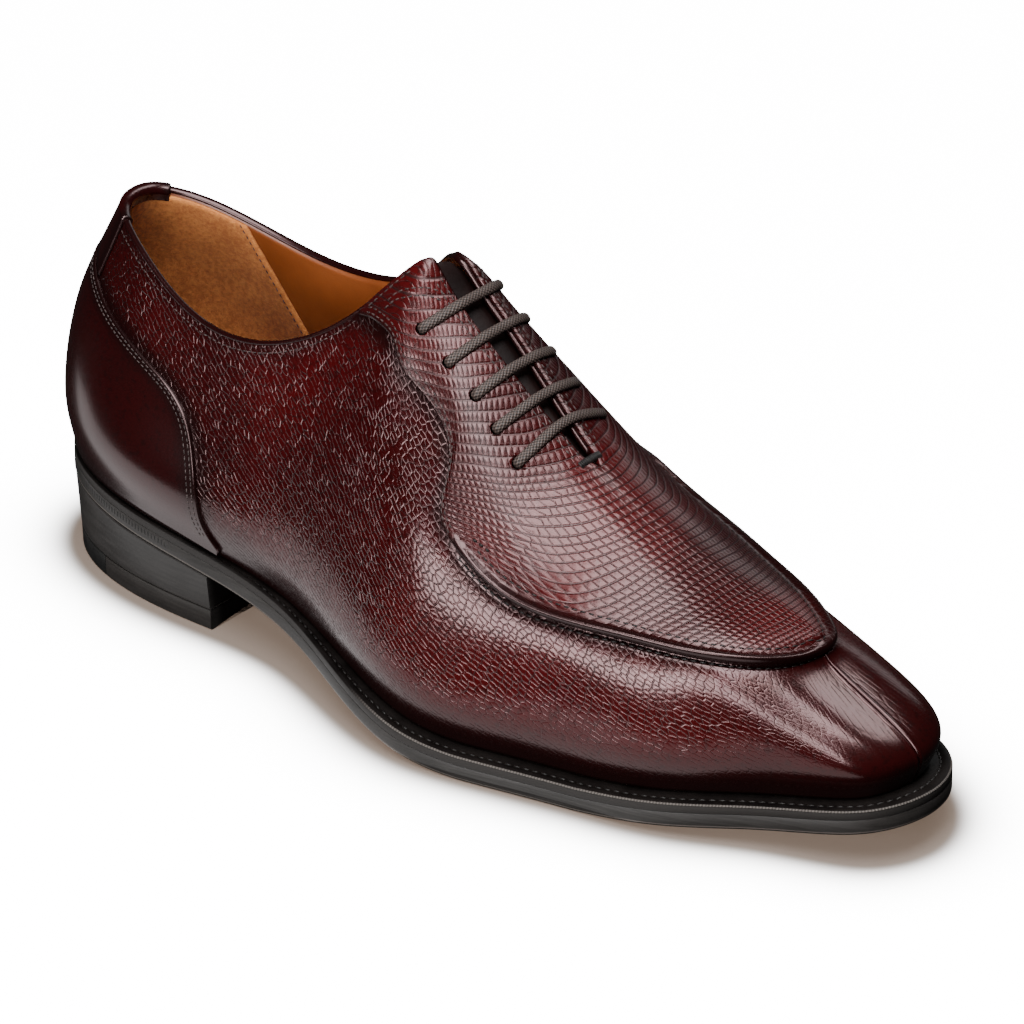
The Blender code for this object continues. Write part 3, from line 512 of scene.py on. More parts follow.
softbox("over_light", (0.25, -0.35, 1.20), (0.25, -0.35, 0.0), (0.75, 1.08), 40.0)
softbox("front_light", (-0.16, -1.60, 0.36), (0.0, 0.0, 0.03), (0.84, 0.50), 25.0)
softbox("side_light", (0.44, -1.43, 0.58), (0.0, 0.0, 0.04), (0.62, 0.60), 17.0)
softbox("link_light", (0.57, -0.95, 1.19), (0.0, 0.0, 0.04), (0.32, 0.54), 5.0)
softbox("back_light", (-0.45, 1.40, 0.48), (0.0, 0.0, 0.06), (0.80, 0.50), 1.3)
softbox("toe_light", (0.32, 0.78, 1.15), (0.11, 0.0, 0.03), (0.42, 0.40), 5.0)
softbox("floor_card", (-0.085, -0.068, 0.002), (-0.085, -0.068, 1.0), (0.49, 0.062), 0.150)
world = bpy.data.worlds.new("studio")
world.use_nodes = True
world.node_tree.nodes["Background"].inputs["Strength"].default_value = ROOM_LIGHT
bpy.context.scene.world = world

# %% [markdown]
# ## Floor
#
# The floor is plain white paper, with a soft brown shadow close to the sole.  The lights could
# cast it, but wide boxes all round leave next to none, and the paper turns grey.  So the paper
# gives its own light, and a field on its mesh dims that light near the sole.  The mesh is made
# of rings that follow the sole's outline, because the field then has no steps along it.

# %% Floor
FLOOR_FAR, FLOOR_POINTS, SHADOW_REACH = 8000.0, 480, 6.5
FLOOR_CENTRE = np.array([150.0, 0.0])
FLOOR_RINGS = np.concatenate([[0.0, 0.5, 1.0], np.linspace(1.5, 45.0, 59)])
rim, rim_normal = sole_outline(np.linspace(0.0, ROUND, FLOOR_POINTS, endpoint=False))
rim_normal = sum(np.roll(rim_normal, shift, axis=0) for shift in range(-9, 10))
rim_normal /= np.linalg.norm(rim_normal, axis=1, keepdims=True)
from_centre = rim - FLOOR_CENTRE
floor_plan = np.concatenate([
    (from_centre * [0.8, 0.0] + FLOOR_CENTRE)[None],
    rim[None] + rim_normal[None] * FLOOR_RINGS[:, None, None],
    (from_centre / np.linalg.norm(from_centre, axis=1, keepdims=True) * FLOOR_FAR)[None]])
floor_grid = np.concatenate([floor_plan, np.zeros_like(floor_plan[..., :1])], -1)


def sole_shadow(distance):
    """How much light is lost by the sole: all of it beneath, and less with the distance."""
    return 1.0 - (1.0 - np.exp(-distance / SHADOW_REACH)) ** 3


dim = np.concatenate([[1.0], sole_shadow(FLOOR_RINGS), [0.0]])
floor = skin("floor", floor_grid, wrap=(False, True), fields={"shadow": dim[:, None]})
floor.visible_glossy = False
floor.visible_diffuse = False
paper, s = new_material("floor_paper", Roughness=0.7, Specular_IOR_Level=0.0, Emission_Strength=14.0)
shadow = mesh_value(s, "shadow")
connect(paper, Emission_Color=shadow.mix((1.0, 1.0, 1.0), (0.0120, 0.0086, 0.0064)),
        Base_Color=(shadow * 0.95).mix((0.96, 0.96, 0.96), (0.06, 0.045, 0.035)))
floor.data.materials.append(paper)
print("floor points", floor_grid.shape[:2])

# %% [markdown]
# ## Leather
#
# The upper is waxed calf with a pressed grain.  Three finishes are needed: a hatch of rows and
# cross lines on apron and facings, a drawn-out pebble on the quarters, and smooth burnished
# calf on counter and tab.  The grain could be carved into the meshes, but it is only a tenth of
# a millimetre deep, so a bump gives it without a million faces.  Colour goes from red to nearly
# black where the polish has built up, and a field on each mesh says where.  On the upper that
# field also carries painted shade along the welt and in the gutter under the ridge.

# %% Leather finishes
RED = (0.0160, 0.0009, 0.0011)
LIVE_RED = (0.048, 0.0022, 0.0026)
OX_DARK = (0.0038, 0.0009, 0.0009)
SHEEN_RED = (1.0, 0.66, 0.66, 1.0)


def warped(s, uv, scale, amount):
    """A map pushed about by soft noise, so that rows and cells waver."""
    push = soft_noise(s, scale, 1.0, out="Color")
    centred = s.node("ShaderNodeVectorMath", {"operation": "SUBTRACT"}, {0: push, 1: (0.5, 0.5, 0.5)})
    return s.node("ShaderNodeVectorMath", {"operation": "MULTIPLY_ADD"},
                  {0: centred, 1: (*amount, 0.0), 2: uv})


def turned(s, uv, degrees, stretch):
    """A map turned by some degrees, on which one unit has the stretch's two lengths in mm."""
    return s.node("ShaderNodeMapping", {"vector_type": "TEXTURE"},
                  {"Vector": uv, "Rotation": (0.0, 0.0, math.radians(degrees)), "Scale": (*stretch, 1.0)})


def cells(s, uv, randomness):
    """Voronoi cells of unit size on a map: distance to the nearest edge."""
    return s.node("ShaderNodeTexVoronoi", {"feature": "DISTANCE_TO_EDGE", "voronoi_dimensions": "2D"},
                  {"Vector": uv, "Scale": 1.0, "Randomness": randomness}, out="Distance")


def hatch_grain(s, uv):
    """A hatch: flat cells in rows, each row cut by cross lines at its own random phase."""
    bent = warped(s, uv, 60.0, (0.8, 1.0))
    row, cross = coordinate(s, bent, "X"), coordinate(s, bent, "Y")
    shift = s.node("ShaderNodeTexWhiteNoise", {"noise_dimensions": "1D"}, {"W": row.math("FLOOR")})
    tick = (cross + shift).math("PINGPONG", 0.5)
    line = row.math("PINGPONG", 0.5)
    cell = line.clamp(0.0, 0.16) * (0.25 + tick.clamp(0.0, 0.13) * 0.75)
    return cell * (0.7 + line.clamp(0.0, 0.5) * tick.clamp(0.0, 0.5) * 0.3)


def pebble_grain(s, uv):
    """A drawn-out pebble: flat cells in rows that lie forward and down, creases at the toe."""
    leaning = warped(s, turned(s, uv, -30.0, (2.4, 1.5)), 75.0, (1.0, 1.0))
    edge = cells(s, warped(s, leaning, 330.0, (0.26, 0.30)), 0.65)
    broken = soft_noise(s, 250.0, 2.0).clamp(0.32, 0.62)
    groove = (1.0 - edge.clamp(0.0, 0.15)) * (0.42 + broken * 0.58)
    pebble = (1.0 - groove) * (0.8 + edge.clamp(0.0, 0.5) * 0.2)
    toe = mesh_value(s, "toe")
    drawn = warped(s, turned(s, uv, 84.0, (9.0, 2.5)), 40.0, (0.25, 0.3))
    fold = cells(s, drawn, 0.8).clamp(0.0, 0.2)
    return pebble * (1.0 - toe) + (0.82 + fold * 0.18) * toe


def leather(name, grain, depth, rough, coat, shine, live=0.5):
    """Waxed calf: red to dark by polish, painted shade and mottling, darker in the grooves of its grain."""
    made, s = new_material(name, Coat_Weight=coat, Coat_Roughness=0.14, Specular_IOR_Level=shine,
                           Specular_Tint=SHEEN_RED)
    polish_and_shade, calm = mesh_value(s, "polish_and_shade"), mesh_value(s, "calm")
    mottle, cloud = soft_noise(s, 55.0, 4.0), soft_noise(s, 17.0, 2.0)
    height = grain(s, grain_map(s)) if grain else soft_noise(s, 900.0, 3.0)
    patchy = (polish_and_shade + (mottle - 0.5) * 0.55 * (1.0 - polish_and_shade)).clamp(0.0, 1.0)
    body = (cloud.clamp(0.35, 0.7) * live).mix(RED, LIVE_RED)
    polished = patchy.mix(body, OX_DARK)
    groove = (1.0 - height.clamp(0.0, 0.6)) * (1.0 - calm) * (0.85 if grain else 0.0)
    pores = soft_noise(s, 620.0, 1.0).clamp(0.52, 0.72)
    colour = (pores * 0.5).mix(groove.mix(polished, OX_DARK), OX_DARK)
    bump = relief(s, height * (1.0 - calm), depth, Strength=1.0)
    bump = relief(s, soft_noise(s, 1500.0, 2.0), 0.02, Strength=0.6, Normal=bump)
    return connect(made, Base_Color=colour, Normal=bump,
                   Roughness=rough + (mottle - 0.5) * 0.10 + groove * 0.20 + polish_and_shade * 0.04)


quarter_leather = leather("quarter_leather", pebble_grain, 0.13, 0.16, 0.06, 0.42)
hatch_leather = leather("hatch_leather", hatch_grain, 0.19, 0.22, 0.08, 0.42, live=1.0)
smooth_leather = leather("smooth_leather", None, 0.02, 0.20, 0.10, 0.42, live=0.2)
print("leathers", [m.name for m in bpy.data.materials if "leather" in m.name])

# %% [markdown]
# ## Seam lines
#
# The apron and facings are one panel.  Its edge leaves the collar, sweeps down the side in an
# S, and becomes the raised ridge that runs round the toe.  The counter has its own swept edge.
# Curves could be drawn on the finished mesh, but short tables of station and height can be asked
# for a distance as well, and that distance drives the dark polish along the seams and the
# painted shade in the gutter under the ridge.

# %% Seam lines
SEAM = (
    (131.5, 0.985), (135.4, 0.945), (141.5, 0.87), (149.3, 0.80), (159.6, 0.78), (169.0, 0.763),
    (174.7, 0.73), (177.4, 0.69), (179.6, 0.60), (188.0, 0.56),
)
RIDGE = (
    (188.0, 0.56), (200.0, 0.55), (224.0, 0.555), (246.0, 0.565), (262.0, 0.565), (284.0, 0.58),
    (297.0, 0.595), (308.0, 0.615), (319.0, 0.645), (327.4, 0.65),
)
COUNTER_EDGE = (
    (91.5, 0.035), (88.4, 0.09), (86.7, 0.19), (85.4, 0.32), (82.7, 0.455), (78.3, 0.575),
    (72.0, 0.645), (61.0, 0.681), (45.6, 0.70), (29.7, 0.74), (14.0, 0.785), (0.0, 0.80),
)
HEIGHT_MM = 92.0


def smooth_line(rows, count):
    """A table of (station, height) rows as evenly spaced points of a spline through them."""
    line = np.array(rows, float)
    way = run_length(line * [1.0, HEIGHT_MM])
    at = np.linspace(0.0, way[-1], count)
    return spline(way, line[:, 0], at), spline(way, line[:, 1], at)


def distance_to(line, station, height):
    """Distance in mm, measured on the unrolled side, to the nearest point of a seam line."""
    points = np.stack(line, -1) * [1.0, HEIGHT_MM]
    here = np.stack(np.broadcast_arrays(station, height), -1) * [1.0, HEIGHT_MM]
    flat = here.reshape(-1, 2)
    best = np.full(len(flat), 1e9)
    for point in points:
        best = np.minimum(best, ((flat - point) ** 2).sum(1))
    return np.sqrt(best).reshape(here.shape[:-1])


seam_line, counter_line = smooth_line(SEAM, 90), smooth_line(COUNTER_EDGE, 110)
ridge_line = smooth_line(RIDGE, 90)
print("facing seam from", np.round([seam_line[0][0], seam_line[1][0]], 2))

# %% [markdown]
# ## The upper
#
# The quarters and the vamp wall are one skin here, about one millimetre thick, with the lining
# as a second skin inside.  A Solidify modifier could give the thickness, but two offsets of the
# last keep the rows of both faces on the same seams.  The split-toe seam is a narrow valley
# between two low welts on the toe's middle line, and the leather sinks into a gutter along the
# foot of the apron ridge.

# %% The upper's skin
UPPER_STATIONS = np.concatenate([
    np.linspace(0.0, 43.5, 40), np.linspace(43.5, 132.0, 60)[1:], np.linspace(132.0, 158.0, 34)[1:],
    np.linspace(158.0, SLIT_FOOT, 36)[1:], np.linspace(SLIT_FOOT, SLIT_END, 4)[1:],
    np.linspace(SLIT_END, 300.0, 80)[1:], np.linspace(300.0, TOE - 5.0, 24)[1:],
    np.linspace(TOE - 5.0, TOE, 18)[1:]])
GUTTER_DEEP, GUTTER_WIDE, VALLEY_DEEP, VALLEY_WIDE, TOE_WELT = 0.75, 1.3, 0.85, 0.42, 0.26
INNER_FACE = -1.0
places = both_sides(UPPER_STATIONS)
stations = np.abs(signed_station(places))


def ridge_height(station):
    """Height of the apron ridge's foot at a station; before the ridge, its first height."""
    return np.interp(station, ridge_line[0], ridge_line[1])


def upper_heights(station, rows):
    """Rows 0 to 1 bent so that row one half always lies on the ridge line."""
    line = ridge_height(station)[:, None]
    return np.where(rows < 0.5, rows / 0.5 * line, line + (rows - 0.5) / 0.5 * (1.0 - line))


def upper_relief(station, height):
    """Height of the skin over the last in mm: gutter under the ridge and the split-toe seam."""
    below = (ridge_height(station) - height) * HEIGHT_MM
    gutter = -GUTTER_DEEP * np.exp(-((below - 0.2) / GUTTER_WIDE) ** 2) * smooth(183.0, 192.0, station)
    aside = TOE - station
    welts = TOE_WELT * np.exp(-((aside - 1.2) / 0.8) ** 2)
    valley = VALLEY_DEEP * np.exp(-(aside / VALLEY_WIDE) ** 2)
    return gutter + (welts - valley) * smooth(-1.5, 1.5, below)


rows = np.concatenate([
    np.linspace(0.0, 0.44, 34), np.linspace(0.44, 0.51, 14)[1:], np.linspace(0.51, 1.0, 30)[1:]])
height = upper_heights(stations, rows[None])
place = np.broadcast_to(places[:, None], height.shape)
station = np.broadcast_to(stations[:, None], height.shape)
outer = close_spine(offset(place, height, upper_relief(station, height)), stations)
back_rows = np.linspace(0.0, 1.0, 18)
back_height = upper_heights(stations, back_rows[None])
inner = close_spine(offset(places[:, None], back_height, INNER_FACE), stations)
upper_grid = shell(outer, inner)
open_top = stations < SLIT_END - 1e-6
upper_faces = np.ones((len(places), upper_grid.shape[1]), bool)
upper_faces[:, len(rows) - 1] = open_top | np.roll(open_top, -1)
print("upper grid", upper_grid.shape)

# %% [markdown]
# ## Burnish and painted shade of the upper
#
# The maker rubs dark polish into every seam and edge and over the toe, and leaves the middle of
# the panels red.  This could be painted by hand on the mesh.  Here it is worked out: each seam
# darkens its surroundings by a bell curve of the distance, and the darkest one counts.  Part of
# it is painted shade, not polish: the darkening of the upper's foot next to the welt, and the
# dark of the gutter under the ridge.

# %% Burnish and painted shade of the upper
RIDGE_FROM = 186.0
rise = run_length(outer)
from_top = rise[:, -1:] - rise


def fade(distance, reach):
    """1 on a line and nearly 0 at twice its reach, as polish fades away from a seam."""
    return np.exp(-(distance / reach) ** 2)


def ring_field(field, count):
    """A field of the outer rows carried on, from its last row, over the inner rows."""
    return np.concatenate([field, np.repeat(field[:, -1:], count, axis=1)], axis=1)


to_seam = distance_to(seam_line, station, height)
to_counter = distance_to(counter_line, station, height)
to_ridge = np.where(station > RIDGE_FROM, np.abs(ridge_height(station) - height) * HEIGHT_MM, 99.0)
toe_dark = smooth(250.0, 318.0, station)
# The term by rise is painted shade along the foot of the upper next to the welt; the term by the ridge is
# polish on its edge and painted shade in the gutter under it.
polish_and_shade = np.maximum.reduce([
    0.94 * fade(rise, 15.0), 0.62 * fade(from_top, 7.0), 0.92 * fade(to_seam, 3.0),
    0.97 * fade(to_ridge, 4.6), 0.85 * fade(to_counter, 7.0), 0.62 * toe_dark,
    0.35 * smooth(110.0, 92.0, station)])
calm = np.maximum(0.25 * toe_dark, 0.95 * fade(rise, 16.0))
upper_fields = {"polish_and_shade": polish_and_shade, "calm": calm, "toe": toe_dark}
upper_uv = ring_field(np.stack([station, rise], -1), len(back_rows))
upper_uv = np.concatenate([upper_uv, upper_uv[:1]], axis=0)
upper = skin("upper_leather", upper_grid, uv=upper_uv, wrap=(True, True), keep=upper_faces,
             fields={key: ring_field(value, len(back_rows)) for key, value in upper_fields.items()})
dress(upper, quarter_leather, "upper", "upper")

# %% [markdown]
# ## Apron and facings
#
# The panel lies on the upper and its edge is the shoe's main ornament: over the toe it is
# worked up into a rounded ridge.  The ridge could be a cord laid along the edge, but then a line
# would show where the two meet.  So it is part of the panel's own height.  The columns of the
# grid start on the edge and run up to the slit or the middle of the vamp.  The ridge is a raised
# cosine over the first few millimetres, and the rim turns down in a quarter circle, so that
# light rolls over it.

# %% Apron panel
PANEL_GAP, PANEL_THICK, RIM = 0.06, 1.35, 0.8
BEAD_RISE, BEAD_AT, BEAD_WIDE, BEAD_LOSS, FACING_EDGE = 1.75, 1.35, 2.3, 0.35, 0.42
low_station = np.concatenate([seam_line[0], ridge_line[0][1:]])
low_height = np.concatenate([seam_line[1], ridge_line[1][1:]])
seam_share = np.linspace(0.0, 1.0, len(seam_line[0]))
seam_top = np.interp(seam_share, [0.0, 0.32, 1.0], [133.4, THROAT + 2.0, seam_line[0][-1]])
high_station = np.concatenate([seam_top, ridge_line[0][1:]])
low_station[-1] = high_station[-1] = TOE
edge_rows = np.array([0.0, 0.06, 0.16, 0.32, 0.52, 0.8, 1.1, 1.4, 1.8, 2.2, 2.6, 3.0, 3.5, 4.1, 4.8])
span_rows = np.linspace(0.0, 1.0, 44)[1:]


def panel_side(side, rows_near, rows_far, thickness):
    """One side of the panel: from its edge towards the slit, in mm near the edge, then by share."""
    low, high = on_side(side, low_station), on_side(side, high_station)
    length = np.linalg.norm(last_surface(low, low_height) - last_surface(high, 1.0), axis=1)
    start = np.minimum(rows_near[None] / length[:, None], np.linspace(0.0, 0.6, len(rows_near))[None])
    part = np.concatenate([start, start[:, -1:] + (1.0 - start[:, -1:]) * rows_far[None]], axis=1)
    at_place = low[:, None] + (high - low)[:, None] * part
    at_height = low_height[:, None] + (1.0 - low_height)[:, None] * part
    distance = part * length[:, None]
    return at_place, at_height, distance, thickness(distance, length[:, None] - distance)


def panel_top(distance, to_top):
    """Height of the panel's face over the upper: quarter-round rims and the raised ridge."""
    rim = np.sqrt(1.0 - (1.0 - np.clip(distance / RIM, 0.0, 1.0)) ** 2)
    slit = np.where((high_station < SLIT_END)[:, None], np.clip(to_top / RIM, 0.0, 1.0), 1.0)
    rim = rim * np.sqrt(1.0 - (1.0 - slit) ** 2)
    ridge = smooth(180.0, 196.0, low_station) * (1.0 - BEAD_LOSS * smooth(285.0, 327.0, low_station))
    ridge = ridge[:, None]
    low = FACING_EDGE + (1.0 - FACING_EDGE) * smooth(0.0, 8.0, distance)
    rim = rim * (low + (1.0 - low) * ridge)
    bead = np.cos(0.5 * np.pi * np.clip((distance - BEAD_AT) / BEAD_WIDE, -1.0, 1.0)) ** 2
    return PANEL_GAP + PANEL_THICK * rim + BEAD_RISE * ridge * bead


def panel_under(distance, to_top):
    """Underside of the panel, just over the upper, whatever the distances to its edges."""
    return np.full(distance.shape, PANEL_GAP)


def whole_panel(rows_near, rows_far, thickness):
    """Both sides as one strip of columns: lateral from collar to toe, then medial back."""
    sides = [panel_side(side, rows_near, rows_far, thickness) for side in (-1, 1)]
    grids = [offset(p, h, d) for p, h, _, d in sides]
    middle = 0.5 * (grids[0][:, -1] + grids[1][:, -1])
    closed = (high_station >= SLIT_END)[:, None]
    for grid in grids:
        grid[:, -1] = np.where(closed, middle, grid[:, -1])
    grids[0][-1] = grids[1][-1] = 0.5 * (grids[0][-1] + grids[1][-1])
    join = [np.concatenate([a, b[-2::-1]]) for a, b in zip(sides[0], sides[1])]
    return np.concatenate([grids[0], grids[1][-2::-1]]), join


face, (face_place, _, face_distance, _) = whole_panel(edge_rows, span_rows, panel_top)
under, _ = whole_panel(np.array([0.0, 2.0, 4.8]), np.linspace(0.0, 1.0, 16)[1:], panel_under)
panel_grid = shell(face, under)
closed = np.concatenate([high_station, high_station[-2::-1]]) >= SLIT_END
panel_faces = np.ones((len(face) - 1, panel_grid.shape[1]), bool)
panel_faces[:, face.shape[1] - 1] = ~(closed[:-1] & closed[1:])
print("panel grid", panel_grid.shape)

# %% [markdown]
# ## Hatch map of the panel
#
# The pressed hatch runs level over the facings and turns square to the toe on the apron.  An
# ordinary unwrap would not know this.  So the map is a formula: its first number counts rows
# and its second counts cross lines, and the leather's grain needs no other shape.

# %% Hatch map of the panel
spine_at = TOP_T["station"] >= THROAT
SPINE_X, SPINE_Z = TOP_T["x"][spine_at], TOP_T["z_lateral"][spine_at]
row_x = np.linspace(100.0, 280.0, 400)
row_gap = np.interp(row_x, [135.0, 165.0, 190.0, 225.0, 250.0], [3.4, 2.8, 2.5, 2.3, 1.7])
row_count = np.concatenate([[0.0], np.cumsum(np.diff(row_x) / row_gap[1:])])
lean_x = np.linspace(60.0, 200.0, 281)
lean_step = 0.9 * smooth(194.0, 156.0, lean_x) * (lean_x[1] - lean_x[0])
lean = np.cumsum(lean_step[::-1])[::-1]


def hatch_map(points, across, side):
    """Row and cross line of the hatch at each point.

    Rows on the facings are level lines of the shoe; they are named by the place where the
    same level crosses the middle of the vamp.  On the apron they turn to run straight across.
    Cross lines count the way from the middle, and on the facings the way back as well, so
    that they stay square to the rows.
    """
    level = np.interp(-points[..., 2], -SPINE_Z, SPINE_X)
    turn = 0.72 * smooth(158.0, 215.0, points[..., 0])
    named = level + (points[..., 0] - level) * turn
    cross = side * (across + np.interp(points[..., 0], lean_x, lean, right=0.0))
    cell = np.interp(points[..., 0], [210.0, 250.0], [2.2, 1.5])
    return np.stack([np.interp(named, row_x, row_count), cross / cell], -1)


panel_way = run_length(face)
face_across = panel_way[:, -1:] - panel_way
side_sign = np.where(np.arange(len(face)) < len(high_station), -1.0, 1.0)[:, None]
panel_uv = ring_field(hatch_map(face, face_across, side_sign), under.shape[1])
face_station = np.abs(signed_station(face_place))
on_apron = face_station > RIDGE_FROM
edge_dark = np.where(on_apron, 0.95 * fade(face_distance, 4.8), 0.80 * fade(face_distance, 2.2))
slit_dark = 0.45 * fade(face_across, 4.5) * (face_station < SLIT_END + 6.0)
collar_dark = 0.55 * fade(np.linalg.norm(face - face[:, -1:][:1], axis=-1), 14.0)
panel_fields = {
    "polish_and_shade": np.maximum.reduce([edge_dark, slit_dark, collar_dark]),
    "calm": np.where(on_apron, fade(face_distance, 4.2), 0.6 * fade(face_distance, 2.4))}
apron = skin("apron_leather", panel_grid, uv=panel_uv, wrap=(False, True), keep=panel_faces, caps=True,
             fields={key: ring_field(value, under.shape[1]) for key, value in panel_fields.items()})
dress(apron, hatch_leather, "apron", "apron")

# %% [markdown]
# ## Counter and back tab
#
# Both are smooth calf, burnished nearly black at their edges.  A Shrinkwrap modifier could lay
# flat pieces on the upper, but their edges would wander.  Instead they are offsets of the last
# like the panel: a grid between the feather line and a swept edge, with a turned-down rim.

# %% Counter
COUNTER_FOOT, COUNTER_SEAT, COUNTER_GAP, COUNTER_WALL, COUNTER_RIM = 0.012, 0.05, 0.06, 1.0, 0.7
foot_share = np.linspace(0.0, 1.0, len(counter_line[0]))
foot_station = np.interp(foot_share, [0.0, 0.3, 1.0], [90.5, 76.0, 0.0])
counter_rows = np.concatenate([np.linspace(0.0, 0.9, 34), 1.0 - 0.1 * np.linspace(1.0, 0.0, 16)[1:] ** 1.6])
under_rows = np.linspace(0.0, 1.0, 14)


def counter_face(shares, lift):
    """Counter points: from the feather up to the edge, lifted off the upper by a function."""
    at_place = foot_station[:, None] + (counter_line[0] - foot_station)[:, None] * shares
    at_height = COUNTER_FOOT + (counter_line[1] - COUNTER_FOOT)[:, None] * shares
    at_place = np.concatenate([at_place, -at_place[-2::-1]])
    at_height = np.concatenate([at_height, at_height[-2::-1]])
    way = run_length(last_surface(at_place, at_height))
    return offset(at_place, at_height, lift(way[:, -1:] - way)), way, at_place, at_height


def counter_lift(to_edge):
    """Thickness of the counter, falling to nothing in a quarter circle at its edge."""
    inward = np.clip(to_edge / COUNTER_RIM, 0.0, 1.0)
    return COUNTER_GAP + COUNTER_WALL * np.sqrt(1.0 - (1.0 - inward) ** 2)


def counter_seat(to_edge):
    """Underside of the counter, just over the upper."""
    return np.full(to_edge.shape, COUNTER_SEAT)


counter_top, counter_way, counter_place, counter_height = counter_face(counter_rows, counter_lift)
counter_under = counter_face(under_rows, counter_seat)[0]
to_counter_edge = distance_to(counter_line, np.abs(counter_place), counter_height)
counter_burnish = np.maximum.reduce([
    0.92 * fade(to_counter_edge, 10.0), 0.88 * fade(counter_way, 12.0),
    0.70 * fade(np.abs(counter_place), 20.0), np.full(counter_way.shape, 0.58)])
counter_uv = ring_field(np.stack([counter_place, counter_way], -1), len(under_rows))
counter = skin("counter_leather", shell(counter_top, counter_under), uv=counter_uv, wrap=(False, True),
               caps=True, fields={"polish_and_shade": ring_field(counter_burnish, len(under_rows)),
                                  "calm": np.zeros(1)})
dress(counter, smooth_leather, "counter", "counter")

# %% Back tab
TAB_LATERAL, TAB_MEDIAL, TAB_ABOVE, TAB_INSIDE = 30.0, 24.0, 0.014, 0.955
TAB_LOW, TAB_HIGH, TAB_RIM = 0.15, 0.95, 0.6
tab_end = np.array([0.0, 0.15, 0.4, 0.8, 1.2])
tab_places = np.concatenate([
    tab_end - TAB_MEDIAL, np.linspace(2.0 - TAB_MEDIAL, TAB_LATERAL - 2.0, 51), TAB_LATERAL - tab_end[::-1]])
tab_foot = np.interp(np.abs(tab_places), counter_line[0][::-1], counter_line[1][::-1])[:, None] + TAB_ABOVE
tab_out = tab_foot + (1.0 - tab_foot) * np.linspace(0.0, 1.0, 30) ** 1.3
tab_in = np.linspace(1.0, TAB_INSIDE, 8)[None]


def tab_face(lift):
    """The tab's path up the back, over the collar and a little way down the inside."""
    turn = np.linspace(0.0, np.pi, 9)[None, 1:-1, None]
    front = offset(tab_places[:, None], tab_out, lift)
    rear = offset(tab_places[:, None], tab_in, -UPPER_WALL - lift)
    middle = 0.5 * (front[:, -1:] + rear[:, :1])
    reach = 0.5 * (front[:, -1:] - rear[:, :1])
    upward = 0.8 * np.linalg.norm(reach, axis=-1, keepdims=True) * np.array([0.0, 0.0, 1.0])
    arc = middle + reach * np.cos(turn) + upward * np.sin(turn)
    return np.concatenate([front, arc, rear], axis=1)


low_face, high_face = tab_face(TAB_LOW), tab_face(TAB_HIGH)
tab_way = run_length(low_face)
to_foot = np.minimum(tab_way, tab_way[:, -1:] - tab_way)
to_side = 0.55 * np.minimum(tab_places + TAB_MEDIAL, TAB_LATERAL - tab_places)[:, None]
to_rim = np.minimum(to_side, to_foot)
tab_round = np.sqrt(1.0 - (1.0 - np.clip(to_rim / TAB_RIM, 0.02, 1.0)) ** 2)
tab_top = low_face + (high_face - low_face) * tab_round[..., None]
tab_burnish = ring_field(0.55 + 0.4 * fade(to_rim, 2.5), tab_top.shape[1])
tab = skin("tab_leather", shell(tab_top, low_face), wrap=(False, True), caps=True,
           fields={"polish_and_shade": tab_burnish, "calm": np.zeros(1)})
dress(tab, smooth_leather, "back_tab", "back_tab")

# %% [markdown]
# ## Lining, heel grip and collar binding
#
# Inside the leather lies a smooth cognac lining, and the back has a suede grip that keeps the
# heel from slipping.  They could be the upper's inner face with another colour.  As thin skins
# that follow the last a little further in, they show their own cut edges.  The edge of leather
# and lining is covered by a narrow bound edge, swept along the collar.

# %% Lining and heel grip
LINING_NEAR, GRIP_TOP, GRIP_SLANT, GRIP_LOW, GRIP_HIGH = -1.15, 54.0, 31.0, 0.06, 0.985
GRIP_SEAT, GRIP_THICK = 0.02, 0.75


def inner_skin(name, at_places, heights, near, far):
    """A thin skin between two depths under the last's surface, open along its top."""
    at_station = np.abs(signed_station(at_places))
    near_grid = close_spine(offset(at_places[:, None], heights, near), at_station)
    far_grid = close_spine(offset(at_places[:, None], heights, far), at_station)
    ring = shell(near_grid, far_grid)
    shut = at_station >= SLIT_END - 1e-6
    held = np.ones((len(at_places), ring.shape[1]), bool)
    held[:, near_grid.shape[1] - 1] = ~(shut & np.roll(shut, -1))
    return skin(name, ring, wrap=(True, True), keep=held)


lining_rows = np.linspace(0.0, 1.0, 30)[None]
lining_places = both_sides(np.concatenate([UPPER_STATIONS[:-42:2], UPPER_STATIONS[-42:-17:3], [TOE]]))
lining_station = np.abs(signed_station(lining_places))[:, None]
along_slit = smooth(126.0, 138.0, lining_station) * smooth(SLIT_END, SLIT_FOOT, lining_station)
lining_top = 0.996 - 0.045 * along_slit
lining = inner_skin("lining_leather", lining_places, lining_rows * lining_top, LINING_NEAR, -UPPER_WALL)
grip_share = np.linspace(-1.0, 1.0, 90)
grip_heights = np.linspace(GRIP_LOW, GRIP_HIGH, 36)
grip_reach = GRIP_TOP + GRIP_SLANT * (1.0 - grip_heights)


def grip_face(depth):
    """The grip's face: its front edges slant forward as they go down."""
    return offset(grip_share[:, None] * grip_reach[None], grip_heights[None], -UPPER_WALL - depth)


grip_rim = np.sqrt(1.0 - (1.0 - np.clip((1.0 - np.abs(grip_share)) * 60.0, 0.05, 1.0)) ** 2)
grip_low, grip_high = grip_face(GRIP_SEAT), grip_face(GRIP_THICK)
grip_top = grip_low + (grip_high - grip_low) * grip_rim[:, None, None]
grip = skin("heel_grip", shell(grip_top, grip_low), wrap=(False, True), caps=True)
print("grip reaches station", GRIP_TOP)

